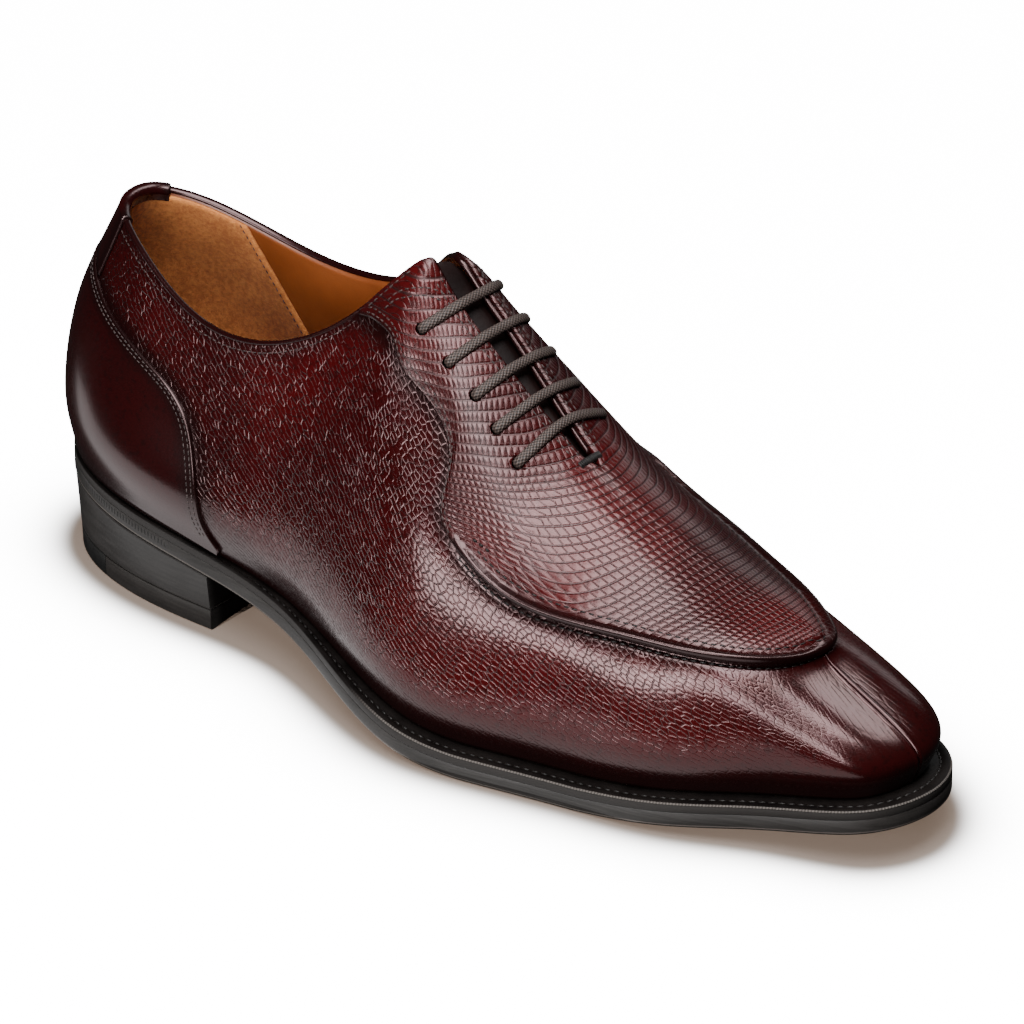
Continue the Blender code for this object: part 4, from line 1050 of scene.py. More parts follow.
# %% Lining materials
calf, s = new_material("lining_calf", Coat_Weight=0.12, Coat_Roughness=0.3)
tone = soft_noise(s, 38.0, 4.0)
connect(calf, Base_Color=tone.clamp(0.3, 0.75).mix((0.135, 0.031, 0.0055), (0.190, 0.049, 0.0095)),
        Roughness=0.42 + (tone - 0.5) * 0.2, Normal=relief(s, soft_noise(s, 1100.0, 2.0), 0.03))
suede, s = new_material("grip_suede", Sheen_Weight=0.08, Sheen_Roughness=0.5, Specular_IOR_Level=0.15)
nap, patch = soft_noise(s, 800.0, 5.0, Roughness=0.75), soft_noise(s, 60.0, 3.0)
suede_tone = (nap * 0.65 + patch * 0.35).clamp(0.36, 0.66)
connect(suede, Base_Color=suede_tone.mix((0.270, 0.087, 0.0200), (0.500, 0.185, 0.0520)),
        Roughness=0.88 + (nap - 0.5) * 0.1, Normal=relief(s, nap, 0.16))
dress(lining, calf, "upper")
dress(grip, suede, "upper")

# %% Collar binding
BINDING_DEPTH, BINDING_WIDE, BINDING_HIGH = -0.75, 1.15, 0.75


def tube(name, path, across, out, wide, high, fields=None, around=12):
    """A closed tube of elliptical section along a path; across and out are its unit axes."""
    turn = np.linspace(0.0, 2.0 * np.pi, around, endpoint=False)[None, :, None]
    half_wide, half_high = (np.broadcast_to(v, (len(path),))[:, None, None] for v in (wide, high))
    ring = (path[:, None] + across[:, None] * np.cos(turn) * half_wide
            + out[:, None] * np.sin(turn) * half_high)
    way = np.broadcast_to(run_length(path)[:, None], (len(path), around + 1))
    lap = np.broadcast_to(np.linspace(0.0, 1.0, around + 1)[None], way.shape)
    return skin(name, ring, uv=np.stack([way, lap], -1), fields=fields, wrap=(False, True), caps=True)


def unit(vectors):
    """Vectors of length one."""
    return vectors / np.linalg.norm(vectors, axis=-1, keepdims=True)


edge_half = np.concatenate([
    np.linspace(0.0, 135.0, 120), np.linspace(135.0, 156.0, 50)[1:], np.linspace(156.0, SLIT_FOOT, 30)[1:]])
edge_places = np.concatenate([-edge_half[:0:-1], edge_half])
edge_path = offset(edge_places, 1.0, BINDING_DEPTH)
edge_across = last_normal(edge_places, 0.98)
edge_out = unit(np.cross(np.gradient(edge_path, axis=0), edge_across))
thin = 0.70 + 0.30 * smooth(THROAT, THROAT - 8.0, np.abs(edge_places))
binding = tube("collar_binding", edge_path, edge_across, edge_out, BINDING_WIDE * thin, BINDING_HIGH * thin,
               fields={"polish_and_shade": np.full(1, 0.7), "calm": np.zeros(1)})
dress(binding, smooth_leather, "upper")

# %% [markdown]
# ## Tongue
#
# The tongue is a thin strip under both facings.  It could be a bent plane, but it has to lie
# close under the facings all the way, so it is one more offset of the last.  Across the slit its
# two halves join in a flat arch, and its rounded top stands a little above the facings.

# %% Tongue
TONGUE_DEPTH, TONGUE_THICK, TONGUE_TOP = -2.5, 1.4, 1.4
TONGUE_FOOT, TONGUE_HEAD = 213.0, THROAT + 3.0
tongue_stations = np.concatenate([np.linspace(TONGUE_FOOT, TONGUE_HEAD, 60), np.full(12, TONGUE_HEAD)])
climb = np.concatenate([np.zeros(60), np.linspace(0.0, TONGUE_TOP, 13)[1:]])
side_heights = np.linspace(0.80, 1.0, 12)
spine_ends = last_surface(np.array([TONGUE_HEAD, THROAT + 20.0]), 1.0)
spine_way = unit(spine_ends[:1] - spine_ends[1:]) * [1.0, 0.0, 1.0]


def tongue_face(depth):
    """Rows from the toe end to the top; beyond the throat they slide on and draw in."""
    lateral, medial = (offset(on_side(side, tongue_stations)[:, None], side_heights[None], depth)
                       for side in (-1, 1))
    share = np.linspace(0.0, 1.0, 9)[None, 1:-1, None]
    bridge = lateral[:, -1:] * (1.0 - share) + medial[:, -1:] * share
    bridge = bridge + np.array([0.35, 0.0, 0.5]) * np.sin(np.pi * share)
    grid = np.concatenate([lateral, bridge, medial[:, ::-1]], axis=1)
    narrow = np.sqrt(np.maximum(1.0 - (climb / (TONGUE_TOP + 0.3)) ** 2, 0.0))[:, None]
    middle = bridge[:, 3:4]
    return middle + (grid - middle) * narrow[..., None] + climb[:, None, None] * spine_way


tongue_grid = shell(tongue_face(TONGUE_DEPTH), tongue_face(TONGUE_DEPTH - TONGUE_THICK))
tongue = skin("tongue_leather", tongue_grid, wrap=(False, True), caps=True)
# The tongue's colour is made near black: painted shade of the narrow slit under the facings and laces.
hide, s = new_material("shaded_tongue_hide", Specular_IOR_Level=0.15)
tone = soft_noise(s, 60.0, 4.0)
connect(hide, Base_Color=tone.clamp(0.3, 0.7).mix((0.0030, 0.0010, 0.0009), (0.0070, 0.0020, 0.0017)),
        Roughness=0.5 + (tone - 0.5) * 0.2, Normal=relief(s, soft_noise(s, 700.0, 3.0), 0.08))
dress(tongue, hide, "tongue", "tongue")

# %% [markdown]
# ## Welt, sole and heel
#
# Each bottom piece is a ring of places round the sole times a short profile, folded shut above
# and below.  A curve with a bevel profile would sweep them too, but it cannot change its width
# on the way, as the welt does at the waist.

# %% Bottom pieces
BOTTOM_STATIONS = np.concatenate([
    np.linspace(0.0, 14.0, 22), np.linspace(14.0, 285.0, 170)[1:], np.linspace(285.0, TOE, 40)[1:]])
WELT_BASE, FULL_WELT = OUTSOLE_THICK + GAP - 0.25, 6.0
bottom_places = both_sides(BOTTOM_STATIONS)
bottom_station = np.abs(signed_station(bottom_places))
bottom_edge, bottom_normal = sole_outline(bottom_places)
bottom_width = round_loop(SOLE_T["welt_width"], SOLE_T["welt_width"], bottom_places)
bottom_z = sole_height(bottom_places)
bottom_way = run_length(bottom_edge)
bottom_way = np.append(bottom_way, bottom_way[-1] + 1.0)


def ring_rows(insets, rises, base):
    """Rows round the sole: each has its inset from the edge and its rise over the base height."""
    plans = [bottom_edge - bottom_normal * np.broadcast_to(inset, bottom_z.shape)[:, None]
             for inset in insets]
    return np.stack([np.column_stack([plan, base + rise]) for plan, rise in zip(plans, rises)])


def ring_map(levels):
    """A map of the way round the sole against one level for each row."""
    return np.stack(np.broadcast_arrays(bottom_way[None], np.array(levels)[:, None]), -1)


def swept(name, insets, rises, base, fields=None):
    """A ring of rows that is folded shut at both ends; its levels are the way up the profile."""
    profile = np.array([[np.mean(inset), rise] for inset, rise in zip(insets, rises)])
    return skin(name, ring_rows(insets, rises, base), uv=ring_map(run_length(profile)), fields=fields,
                wrap=(False, True), caps=True, sharp=40.0)


heel_part = smooth(74.0, 70.0, bottom_station)
fore_part = smooth(148.0, 172.0, bottom_station)
room = bottom_width / FULL_WELT
welt_insets = [bottom_width + 2.4, 0.05, 0.0, 0.0, 0.12, 0.4, 0.9, 2.3 * room, 2.9 * room, 3.5 * room,
               4.1 * room, bottom_width + 0.4, bottom_width + 2.4]
welt_rises = [0.02, 0.02, 0.12, 2.0, 2.4, 2.6, 2.68, 2.68, 2.40, 2.36, 2.62, 2.66, 2.66]
welt_levels = [-3.0, -0.1, 0.0, 2.0, 2.4, 2.7, 3.2, 4.6, 5.2, 5.8, 6.4, 8.6, 10.6, 13.0]
welt = skin("welt_leather", ring_rows(welt_insets, welt_rises, bottom_z + WELT_BASE),
            uv=ring_map(welt_levels), wrap=(True, True), sharp=50.0, fields={"fore": fore_part[None]})
outsole = swept("outsole_leather", [1.6, 0.75, 0.42, 0.06, 0.0, 0.0, 0.05, 0.8],
                [0.0, 0.0, 0.12, 0.55, 0.75, 4.48, 4.56, 4.57], bottom_z, {"heel": heel_part[None]})
print("sole ring", len(bottom_places))

# %% [markdown]
# ## Heel
#
# The heel is a stack of leather with a wearing layer under it, rubber behind and leather in
# front.  A block could be cut to shape with Booleans.  Here each piece is a closed plan carried
# up through levels, so that its sides taper and its top follows the sole's seat.

# %% Heel
HEEL_BREAST, HEEL_HOLLOW, LIFT_THICK, RUBBER_END, RUBBER_BOW = 73.0, 2.5, 6.4, 30.0, 5.0
HEEL_BACK, SIDE_POINTS, BREAST_POINTS = 2.5, 60, 21
HALF_BREAST = (BREAST_POINTS + 1) // 2


def heel_ring(start, front, bow, inset):
    """Plan of a heel piece as a loop that begins at the back and goes round by the outer side."""
    edge_at = np.linspace(0.0, 92.0, 500)
    edge, normal = sole_outline(edge_at)
    reach = (edge - normal * inset)[:, 0]
    begin = np.interp(start, reach, edge_at) if start > HEEL_BACK else 0.0
    span = np.linspace(begin, np.interp(front, reach, edge_at), SIDE_POINTS)
    sides = []
    for side in (-1, 1):
        edge, normal = sole_outline(on_side(side, span))
        sides.append(edge - normal * inset)
    share = np.linspace(0.0, 1.0, BREAST_POINTS + 2)[1:-1, None]
    arch = np.sin(np.pi * share) * [1.0, 0.0]
    breast = sides[0][-1] * (1.0 - share) + sides[1][-1] * share - arch * bow
    if start <= HEEL_BACK:
        return np.concatenate([sides[0], breast, sides[1][:0:-1]])
    rear = sides[1][0] * (1.0 - share) + sides[0][0] * share + arch * RUBBER_BOW
    return np.concatenate([rear[HALF_BREAST:], sides[0], breast, sides[1][::-1], rear[:HALF_BREAST]])


def heel_block(name, start, front, bow, levels):
    """A heel piece from plans at several levels: 0 to 1 in the lift, 1 to 2 up to the seat."""
    breast = np.zeros(len(heel_ring(start, front, bow, 0.0)))
    first = SIDE_POINTS + (HALF_BREAST if start > HEEL_BACK else 0)
    breast[first:first + BREAST_POINTS] = 1.0
    seat_x, seat_z = bottom_edge[:len(BOTTOM_STATIONS), 0], bottom_z[:len(BOTTOM_STATIONS)]
    layers = []
    for inset, level in levels:
        plan = heel_ring(start, front, bow, inset)
        above = np.interp(plan[:, 0], seat_x, seat_z) - LIFT_THICK
        z = LIFT_THICK * min(level, 1.0) + above * max(level - 1.0, 0.0)
        layers.append(np.column_stack([plan, z]))
    return skin(name, np.stack(layers), fields={"breast": breast[None]}, wrap=(False, True), caps=True,
                sharp=35.0)


stack_rows = [(1.9, 1.012), (1.55, 1.03)]
stack_rows += [(1.5 - 1.25 * k, 1.03 + 0.93 * k) for k in np.linspace(0.05, 1.0, 16)]
stack_rows += [(0.5, 1.985), (0.9, 1.99)]
stack = heel_block("heel_stack_leather", 0.0, HEEL_BREAST, HEEL_HOLLOW, stack_rows)
lift_rows = [(2.5, 0.0), (2.0, 0.03), (1.8, 0.1), (1.6, 0.9), (1.65, 0.97), (2.0, 0.995)]
rubber = heel_block("lift_rubber", 0.0, RUBBER_END, -RUBBER_BOW, lift_rows)
leather_lift = heel_block("lift_leather", RUBBER_END + 0.3, HEEL_BREAST, HEEL_HOLLOW, lift_rows)
sock_inset = bottom_width + UPPER_WALL + 1.0
sock = swept("sock_leather", [sock_inset + 4.0, sock_inset, sock_inset, sock_inset + 0.6, sock_inset + 4.0],
             [0.0, 0.0, 3.6, 4.0, 4.02], bottom_z + OUTSOLE_THICK + GAP)
print("heel pieces made")

# %% [markdown]
# ## Sole edges
#
# The edges are dyed nearly black and burnished with a hot iron, which leaves fine lines along
# them, a bright wheel mark on the welt and a pale line where the bevel begins.  These marks are
# too fine to model, so they are bands and ticks on the map that each ring carries.  The top of
# the welt, down in the channel under the upper, is made near black as painted shade, and the
# heel's breast, which faces the waist, is darkened as painted shade too.

# %% Sole materials
# The breast's tone on this line is painted shade for the heel's breast under the waist; the other tones are
# the edges' own colours.
UNDERSIDE, BREAST_SHADE, TICK_DARK = (0.085, 0.028, 0.012), (0.0030, 0.0018, 0.0015), (0.0030, 0.0027, 0.0025)
BEVEL_PALE, WHEEL_PALE, WELT_SIDE = (0.085, 0.072, 0.064), (0.092, 0.081, 0.074), (0.0190, 0.0172, 0.0163)


def edge_material(name, low, high, rough, line_scale, depth, shine=0.16):
    """Dyed sole edge: burnished lines along it, dust in patches and a soft polish."""
    made, s = new_material(name, Specular_IOR_Level=shine)
    where = s.node("ShaderNodeTexCoord", out="Object")
    drawn = s.node("ShaderNodeMapping", {}, {"Vector": where, "Scale": (60.0, 60.0, line_scale)})
    lines = s.node("ShaderNodeTexNoise", {},
                   {"Vector": drawn, "Scale": 1.0, "Detail": 4.0, "Roughness": 0.65})
    tone = (lines * 0.65 + soft_noise(s, 70.0, 4.0) * 0.35).clamp(0.34, 0.68)
    return made, s, tone.mix(low, high), rough + (lines - 0.5) * 0.25, relief(s, lines, depth)


def heel_material(name, low, high, rough, line_scale):
    """A dyed edge that is darker on the heel's breast, which the waist shades."""
    made, s, tint, rough, bump = edge_material(name, low, high, rough, line_scale, 0.03)
    # The breast faces the waist and the shaded floor under it, so its colour is darkened as painted shade.
    tint = (mesh_value(s, "breast") * 0.9).mix(tint, BREAST_SHADE)
    return connect(made, Base_Color=tint, Roughness=rough, Normal=bump)


def band(level, middle, half, full):
    """1 in the middle of a band of levels, and 0 outside it."""
    return (1.0 - (level - middle).math("ABSOLUTE") / half).clamp(0.0, full)


sole_edge, s, tint, rough, bump = edge_material(
    "sole_edge", (0.0125, 0.0112, 0.0105), (0.0220, 0.0199, 0.0188), 0.42, 1900.0, 0.03)
along, level = coordinate(s, grain_map(s), "X"), coordinate(s, grain_map(s), "Y")
tick_rows = level.clamp(3.4, 3.7) * (1.0 - level.clamp(5.0, 5.2)) * mesh_value(s, "heel")
ticks = (along / 1.3).math("PINGPONG", 0.5).clamp(0.25, 0.05) * tick_rows
tint = (ticks * 0.8).mix(tint, TICK_DARK)
tint = (band(level, 2.05, 0.24, 0.6) * 0.7).mix(tint, BEVEL_PALE)
bump = s.node("ShaderNodeBump", {"invert": True},
              {"Height": ticks, "Distance": 0.15 * MM, "Normal": bump}, out="Normal")
connect(sole_edge, Base_Color=(1.0 - level.clamp(0.9, 1.3)).mix(tint, UNDERSIDE), Roughness=rough,
        Normal=bump)
heel_edge = heel_material(
    "heel_edge", (0.0135, 0.0122, 0.0116), (0.0235, 0.0214, 0.0204), 0.42, 900.0)
lift_edge = heel_material(
    "lift_edge", (0.0135, 0.0119, 0.0111), (0.0220, 0.0196, 0.0183), 0.44, 1200.0)
rubber_black, s, tint, rough, bump = edge_material(
    "rubber_black", (0.0045, 0.0045, 0.0045), (0.013, 0.0125, 0.0120), 0.55, 300.0, 0.05)
connect(rubber_black, Base_Color=tint, Roughness=rough, Normal=bump)
# The welt's top tones here are near black: painted shade of the channel between upper and sole edge.  Below
# level 2 the welt's side keeps the edge's own colour.
welt_with_painted_shade, s, tint, rough, bump = edge_material(
    "welt_with_painted_shade", (0.0020, 0.0015, 0.0014), (0.0060, 0.0047, 0.0043), 0.45, 700.0, 0.04, shine=0.06)
along, level = coordinate(s, grain_map(s), "X"), coordinate(s, grain_map(s), "Y")
beat = (along / 0.9).math("PINGPONG", 0.5).clamp(0.1, 0.4)
wheel = band(level, 2.5, 0.42, 0.5) * (0.5 + beat * 0.5) * mesh_value(s, "fore")
tint = (1.0 - level.clamp(1.9, 2.3)).mix(tint, WELT_SIDE)
connect(welt_with_painted_shade, Base_Color=(wheel * 0.85).mix(tint, WHEEL_PALE), Roughness=rough,
        Normal=relief(s, wheel, 0.25, Normal=bump))
dress(welt, welt_with_painted_shade, "welt", "welt")
dress(outsole, sole_edge, "outsole", "outsole")
dress(stack, heel_edge, "heel_stack", "heel_stack")
dress(rubber, rubber_black, "heel_lift_rubber", "heel_lift_rubber")
dress(leather_lift, lift_edge, "heel_lift_leather", "heel_lift_leather")
dress(sock, calf, "insole", "insole")

# %% [markdown]
# ## Lacing
#
# Five waxed laces cross the slit in straight bars.  A taut lace takes the short way over the
# facings, square to the slit, so each bar looks for the station at every height that keeps it
# square.  Its ends turn down through the punched holes and stop behind the facing.  A curve with
# a bevel would do as well, but a tube from the same helper as the binding carries a map for
# the weave.

# %% Lace bars
BARS = ((153.8, 0.877), (164.9, 0.870), (175.1, 0.863), (183.3, 0.847), (191.5, 0.830))
LACE_WIDE, LACE_HIGH, LACE_SINK, HOLE_DIAMETER = 1.45, 0.95, 0.15, 3.4
FACE_LIFT = PANEL_GAP + PANEL_THICK
BLUR = np.array([1.0, 2.0, 3.0, 2.0, 1.0]) / 9.0
FULL_TURN = 6.2832


def slit_way(station):
    """Unit direction of the slit in front of a station."""
    ends = last_surface(np.array([station, station + 12.0]), 1.0)
    return unit(ends[1] - ends[0])


def square_stations(station, heights):
    """For each height, the station at which the surface lies square to the slit from a hole."""
    search = station + np.linspace(-6.0, 24.0, 61)
    points = last_surface(*np.meshgrid(search, heights, indexing="ij"))
    hole = last_surface(np.array([station]), heights[:1])[0]
    ahead = ((points - hole) * slit_way(station)).sum(-1)
    return np.array([np.interp(0.0, ahead[:, k], search) for k in range(len(heights))])


def lace_path(station, hole_height):
    """Points of one bar from inside one hole to inside the other, blurred so that it lies taut."""
    heights = np.linspace(hole_height, 0.995, 14)
    at = square_stations(station, heights)
    lateral, medial = (offset(on_side(side, at), heights, FACE_LIFT + LACE_HIGH - LACE_SINK)
                       for side in (-1, 1))
    out_lateral, out_medial = (last_normal(on_side(side, at[:1]), heights[:1])[0] for side in (-1, 1))
    dips = np.array([-4.6, -2.6, -0.9])[:, None]
    over = np.concatenate([lateral, medial[::-1]])
    way = run_length(over)
    even = np.linspace(0.0, way[-1], 46)
    over = np.stack([np.interp(even, way, over[:, k]) for k in range(3)], -1)
    for _ in range(3):
        blurred = np.stack([np.convolve(over[:, k], BLUR, mode="valid") for k in range(3)], -1)
        over = np.concatenate([over[:2], blurred, over[-2:]])
    return np.concatenate([lateral[0] + out_lateral * dips, over[2:-2], medial[0] + out_medial * dips[::-1]])


def lace_bar(name, station, hole_height):
    """One bar as a flattened tube along its path."""
    path = lace_path(station, hole_height)
    way = run_length(path)
    fine = np.linspace(0.0, way[-1], 110)
    path = np.stack([spline(way, path[:, k], fine) for k in range(3)], -1)
    along = unit(np.gradient(path, axis=0))
    slit = slit_way(station)
    across = unit(slit - along * (along * slit).sum(1, keepdims=True))
    return tube(name, path, across, unit(np.cross(across, along)), LACE_WIDE, LACE_HIGH, around=16)


waxed, s = new_material("waxed_lace", Specular_IOR_Level=0.3)
along, lap = coordinate(s, grain_map(s), "X"), coordinate(s, grain_map(s), "Y")
left_twist, right_twist = along / 1.25 + lap * 8.0, along / 1.25 - lap * 8.0
weave = ((left_twist * FULL_TURN).math("SINE") + (right_twist * FULL_TURN).math("SINE")) * 0.25 + 0.5
connect(waxed, Base_Color=weave.clamp(0.25, 0.8).mix((0.0110, 0.0070, 0.0060), (0.062, 0.044, 0.038)),
        Roughness=0.55 - weave * 0.15, Normal=relief(s, weave, 0.22))
for number, (bar_station, bar_height) in enumerate(BARS, 1):
    dress(lace_bar(f"lace_{number}", bar_station, bar_height), waxed, "lace", f"lace_bar_{number}")

# %% [markdown]
# ## Punched holes
#
# The lace holes go through facing, upper and lining alike.  They could be drawn as dark discs,
# but a lace that dips into a real hole shows its depth from every side.  One set of round pins
# is cut out of all three pieces with a Boolean modifier, and the result is kept as the mesh.

# %% Punched holes
PIN_SIDES, PIN_ENDS = 24, (-3.6, 3.4)


def pin_cutter():
    """A row of closed round pins, one through each lace hole, as one object."""
    bars = np.array(BARS)
    at = np.concatenate([bars[:, 0], ROUND - bars[:, 0]])
    tall = np.tile(bars[:, 1], 2)
    centres, out = last_surface(at, tall), last_normal(at, tall)
    aside = unit(np.cross(out, [1.0, 0.0, 0.0]))
    other = np.cross(out, aside)
    turn = np.linspace(0.0, 2.0 * np.pi, PIN_SIDES, endpoint=False)[None, :, None]
    hole_rim = 0.5 * HOLE_DIAMETER * (np.cos(turn) * aside[:, None] + np.sin(turn) * other[:, None])
    pins = np.stack([centres[:, None] + out[:, None] * depth + hole_rim for depth in PIN_ENDS], 1)
    ring = np.arange(PIN_SIDES)
    after = (ring + 1) % PIN_SIDES
    faces = []
    for low in range(0, len(pins) * 2 * PIN_SIDES, 2 * PIN_SIDES):
        high = low + PIN_SIDES
        faces += np.stack([low + ring, low + after, high + after, high + ring], -1).tolist()
        faces += [(low + ring[::-1]).tolist(), (high + ring).tolist()]
    mesh = bpy.data.meshes.new("pins")
    mesh.from_pydata(((pins.reshape(-1, 3) - ORIGIN) * MM).tolist(), [], faces)
    cutter = bpy.data.objects.new("pins", mesh)
    bpy.context.scene.collection.objects.link(cutter)
    return cutter


def punch(targets):
    """Cuts the lace holes through the given pieces with one set of round pins."""
    cutter = pin_cutter()
    for target in targets:
        cut = target.modifiers.new("holes", "BOOLEAN")
        cut.operation, cut.solver, cut.object = "DIFFERENCE", "EXACT", cutter
    graph = bpy.context.evaluated_depsgraph_get()
    for target in targets:
        done = bpy.data.meshes.new_from_object(
            target.evaluated_get(graph), preserve_all_data_layers=True, depsgraph=graph)
        target.modifiers.clear()
        target.data = done
        print(target.name, "punched,", len(done.polygons), "faces")
    bpy.data.objects.remove(cutter, do_unlink=True)


punch([upper, apron, lining])

# %% [markdown]
# ## Stitching
#
# Rows of thread hold the panels down and are what tells a made shoe from a moulded one.  A
# stitch is a small capsule whose ends sink into the leather.  An array along a curve could set
# them out one row at a time.  Here each row is a path on the last with its outward direction,
# and one helper spaces the stitches along all the paths it is given and makes them one mesh.

# %% Stitch helper
STITCH_RINGS, STITCH_SIDES = 5, 6


def stitches(name, runs, pitch, size, slot, yarn, crosswise=False):
    """Capsules of a given length, half width and half height, evenly spaced along paths."""
    centre, along, out = [], [], []
    for path, outward in runs:
        way = run_length(path)
        count = max(int(way[-1] / pitch), 1)
        at = (np.arange(count) + 0.5) * way[-1] / count
        for store, points in ((centre, path), (along, np.gradient(path, axis=0)), (out, outward)):
            store.append(np.stack([np.interp(at, way, points[:, k]) for k in range(3)], -1))
    centre, along, out = np.concatenate(centre), unit(np.concatenate(along)), unit(np.concatenate(out))
    across = unit(np.cross(out, along))
    along, across = (across, -along) if crosswise else (along, across)
    at = np.array([-0.5, -0.42, 0.0, 0.42, 0.5])[None, :, None, None]
    girth = np.array([0.30, 0.85, 1.0, 0.85, 0.30])[None, :, None, None]
    turn = np.linspace(0.0, 2.0 * np.pi, STITCH_SIDES, endpoint=False)[None, None, :, None]
    length, wide, high = size
    points = (centre[:, None, None] + along[:, None, None] * at * length
              + across[:, None, None] * np.cos(turn) * girth * wide
              + out[:, None, None] * (np.sin(turn) * girth - 1.6 * at ** 2) * high)
    ring, lap = np.meshgrid(np.arange(STITCH_RINGS - 1), np.arange(STITCH_SIDES), indexing="ij")
    after = (lap + 1) % STITCH_SIDES
    quad = np.stack([lap, after, STITCH_SIDES + after, STITCH_SIDES + lap], -1)
    quad = quad + STITCH_SIDES * ring[..., None]
    first = (np.arange(len(centre)) * STITCH_RINGS * STITCH_SIDES)[:, None, None]
    end = np.arange(STITCH_SIDES)
    ends = np.stack([end[::-1], end + (STITCH_RINGS - 1) * STITCH_SIDES])[None] + first
    faces = (quad.reshape(1, -1, 4) + first).reshape(-1, 4).tolist()
    faces += ends.reshape(-1, STITCH_SIDES).tolist()
    mesh = bpy.data.meshes.new(name)
    mesh.from_pydata(((points.reshape(-1, 3) - ORIGIN) * MM).tolist(), [], faces)
    mesh.polygons.foreach_set("use_smooth", np.ones(len(mesh.polygons), bool))
    made = bpy.data.objects.new(name, mesh)
    bpy.context.scene.collection.objects.link(made)
    return dress(made, yarn, slot)


def on_last(at_places, heights, lift):
    """A path on the last at some lift in mm, with its outward directions."""
    return offset(at_places, heights, lift), last_normal(at_places, heights)


def below_top(at_places, depth):
    """Height of the points that lie a given depth in mm under the top line."""
    step = last_surface(at_places, 1.0) - last_surface(at_places, 0.96)
    return 1.0 - 0.04 * depth / np.linalg.norm(step, axis=-1)


def yarn_material(name, low, high):
    """Waxed thread between two tones, with a fine ply."""
    made, s = new_material(name, Specular_IOR_Level=0.2)
    ply = soft_noise(s, 1600.0, 2.0)
    return connect(made, Base_Color=ply.clamp(0.35, 0.65).mix(low, high), Roughness=0.5 - ply * 0.1,
                   Normal=relief(s, ply, 0.10))


thread = yarn_material("thread", (0.010, 0.0066, 0.0064), (0.055, 0.039, 0.037))
black_thread = yarn_material("black_thread", (0.0022, 0.0016, 0.0015), (0.0090, 0.0070, 0.0066))
print("thread ready")

# %% Rows on the apron and facings
FACING_CURVE = ((140.3, 0.937), (141.2, 0.940), (145.3, 0.927), (149.3, 0.943), (155.1, 0.973))
PANEL_ROWS = np.array([0.0, 1.3, 2.8, 4.9])
seam_count = len(seam_line[0])
on_seam, on_ridge = slice(4, seam_count - 4), slice(seam_count + 2, None)
curve_at, curve_height = smooth_line(FACING_CURVE, 30)
apron_runs, ridge_runs = [], []
for side in (-1, 1):
    at, tall, _, lift = panel_side(side, PANEL_ROWS, np.array([1.0]), panel_top)
    apron_runs += [on_last(at[on_seam, row], tall[on_seam, row], lift[on_seam, row]) for row in (1, 2)]
    ridge_runs.append(on_last(at[on_ridge, 3], tall[on_ridge, 3], lift[on_ridge, 3] + 0.05))
    slit_at = on_side(side, np.linspace(THROAT + 5.0, SLIT_FOOT - 0.5, 60))
    apron_runs += [on_last(slit_at, below_top(slit_at, depth), FACE_LIFT) for depth in (1.5, 3.3)]
    apron_runs += [on_last(on_side(side, curve_at), curve_height - drop, FACE_LIFT) for drop in (0.0, 0.018)]
    rim_at = on_side(side, np.linspace(135.0, 143.5, 12))
    apron_runs.append(on_last(rim_at, below_top(rim_at, 2.6), FACE_LIFT))
stitches("apron_stitches", apron_runs, 1.9, (1.4, 0.23, 0.19), "apron", thread)
stitches("ridge_stitches", ridge_runs, 2.4, (1.6, 0.24, 0.20), "apron", black_thread)
gutter_at = ridge_line[0][:-2]
gutter_height = ridge_height(gutter_at) - 1.25 / HEIGHT_MM
gutter_runs = [on_last(on_side(side, gutter_at), gutter_height, -0.45) for side in (-1, 1)]
stitches("gutter_stitches", gutter_runs, 2.5, (1.9, 0.34, 0.28), "upper", black_thread)

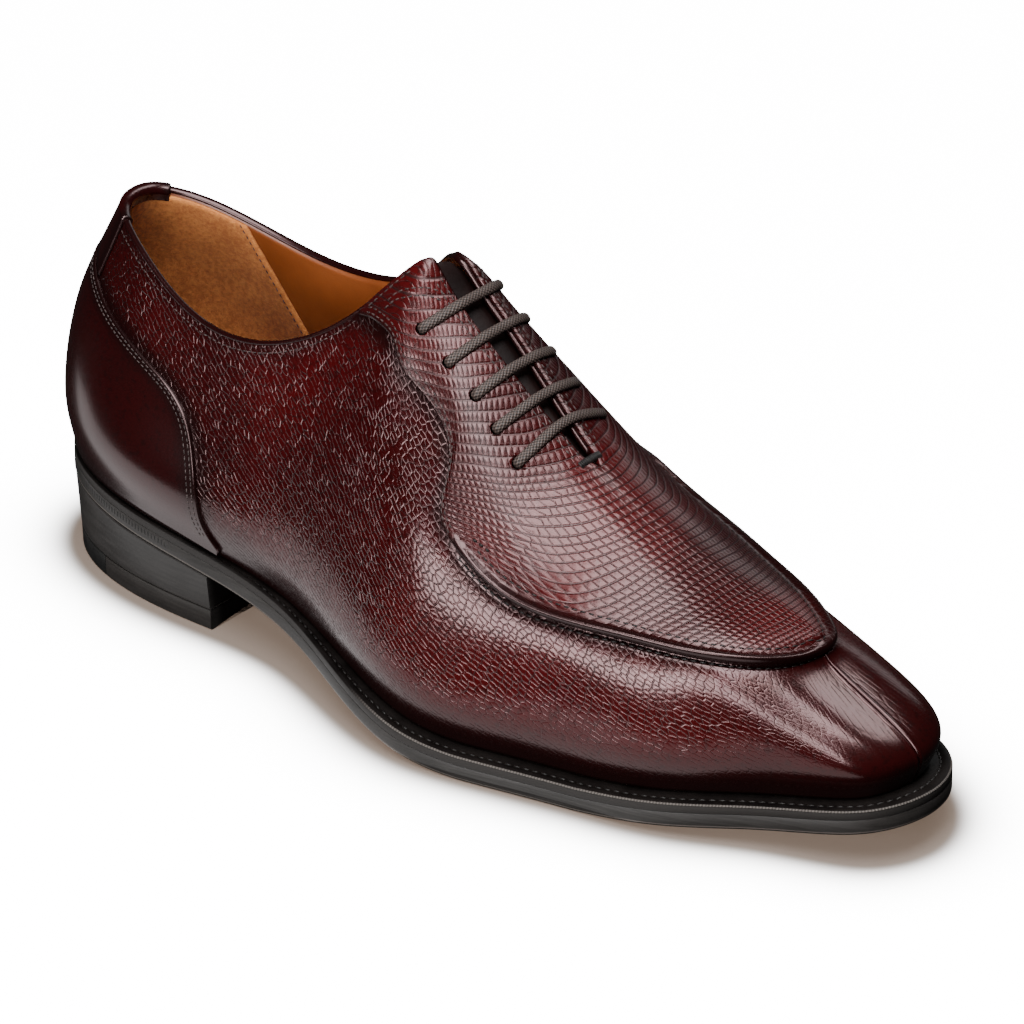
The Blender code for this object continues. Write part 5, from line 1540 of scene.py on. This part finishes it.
# %% Rows on collar, counter and welt
SEAM_STITCH = (1.25, 0.20, 0.17)
collar_at = np.linspace(8.0, 131.0, 160)
collar_runs = [on_last(p, below_top(p, 2.7), 0.02) for p in (collar_at, ROUND - collar_at)]
stitches("collar_stitches", collar_runs, 1.75, SEAM_STITCH, "upper", thread)
edge_way = unit(np.gradient(np.stack(counter_line, -1) * [1.0, HEIGHT_MM], axis=0))
counter_runs = []
for depth in (1.4, 3.0):
    in_station = (counter_line[0] - edge_way[:, 1] * depth)[4:-6]
    in_height = (counter_line[1] + edge_way[:, 0] * depth / HEIGHT_MM)[4:-6]
    counter_runs += [on_last(p, in_height, 1.08) for p in (in_station, ROUND - in_station)]
stitches("counter_stitches", counter_runs, 1.75, SEAM_STITCH, "counter", thread)
forward = bottom_station > 100.0
welt_path = ring_rows([3.2 * room], [2.42], bottom_z + WELT_BASE)[0][forward]
welt_up = np.tile([0.0, 0.0, 1.0], (len(welt_path), 1))
stitches("welt_stitches", [(welt_path, welt_up)], 2.7, (2.0, 0.42, 0.32), "welt", black_thread)
grip_edge = grip_reach - 2.2
grip_runs = [(offset(p, grip_heights, -UPPER_WALL - 0.78), -last_normal(p, grip_heights))
             for p in (grip_edge, ROUND - grip_edge)]
stitches("grip_stitches", grip_runs, 2.0, (1.3, 0.22, 0.16), "upper", thread)

# %% [markdown]
# ## Tacks
#
# Where the slit ends it would tear, so a bar of close stitches is sewn across it, and a short
# tack holds each facing where its seam meets the ridge.  They come from the stitch helper too:
# for the bar its stitches lie across their path.

# %% Tacks
TACK_AT, TACK_LIFT = 202.0, FACE_LIFT + 0.1
tack = np.concatenate([
    on_last(np.full(6, TACK_AT), np.linspace(0.955, 1.0, 6), TACK_LIFT)[0],
    on_last(np.full(4, ROUND - TACK_AT), np.linspace(0.995, 0.975, 4), TACK_LIFT)[0]])
tack_out = np.tile(unit(last_normal(np.array([TACK_AT]), 0.98) * [1.0, 0.0, 1.0]), (10, 1))
stitches("bar_tack", [(tack, tack_out)], 0.62, (2.2, 0.32, 0.32), "apron", black_thread, crosswise=True)
corner_at, corner_height = np.array([190.5, 196.5]), np.array([0.618, 0.626])
corner_runs = [on_last(p, corner_height, TACK_LIFT) for p in (corner_at, ROUND - corner_at)]
stitches("corner_tack", corner_runs, 2.0, (1.3, 0.35, 0.30), "apron", black_thread)
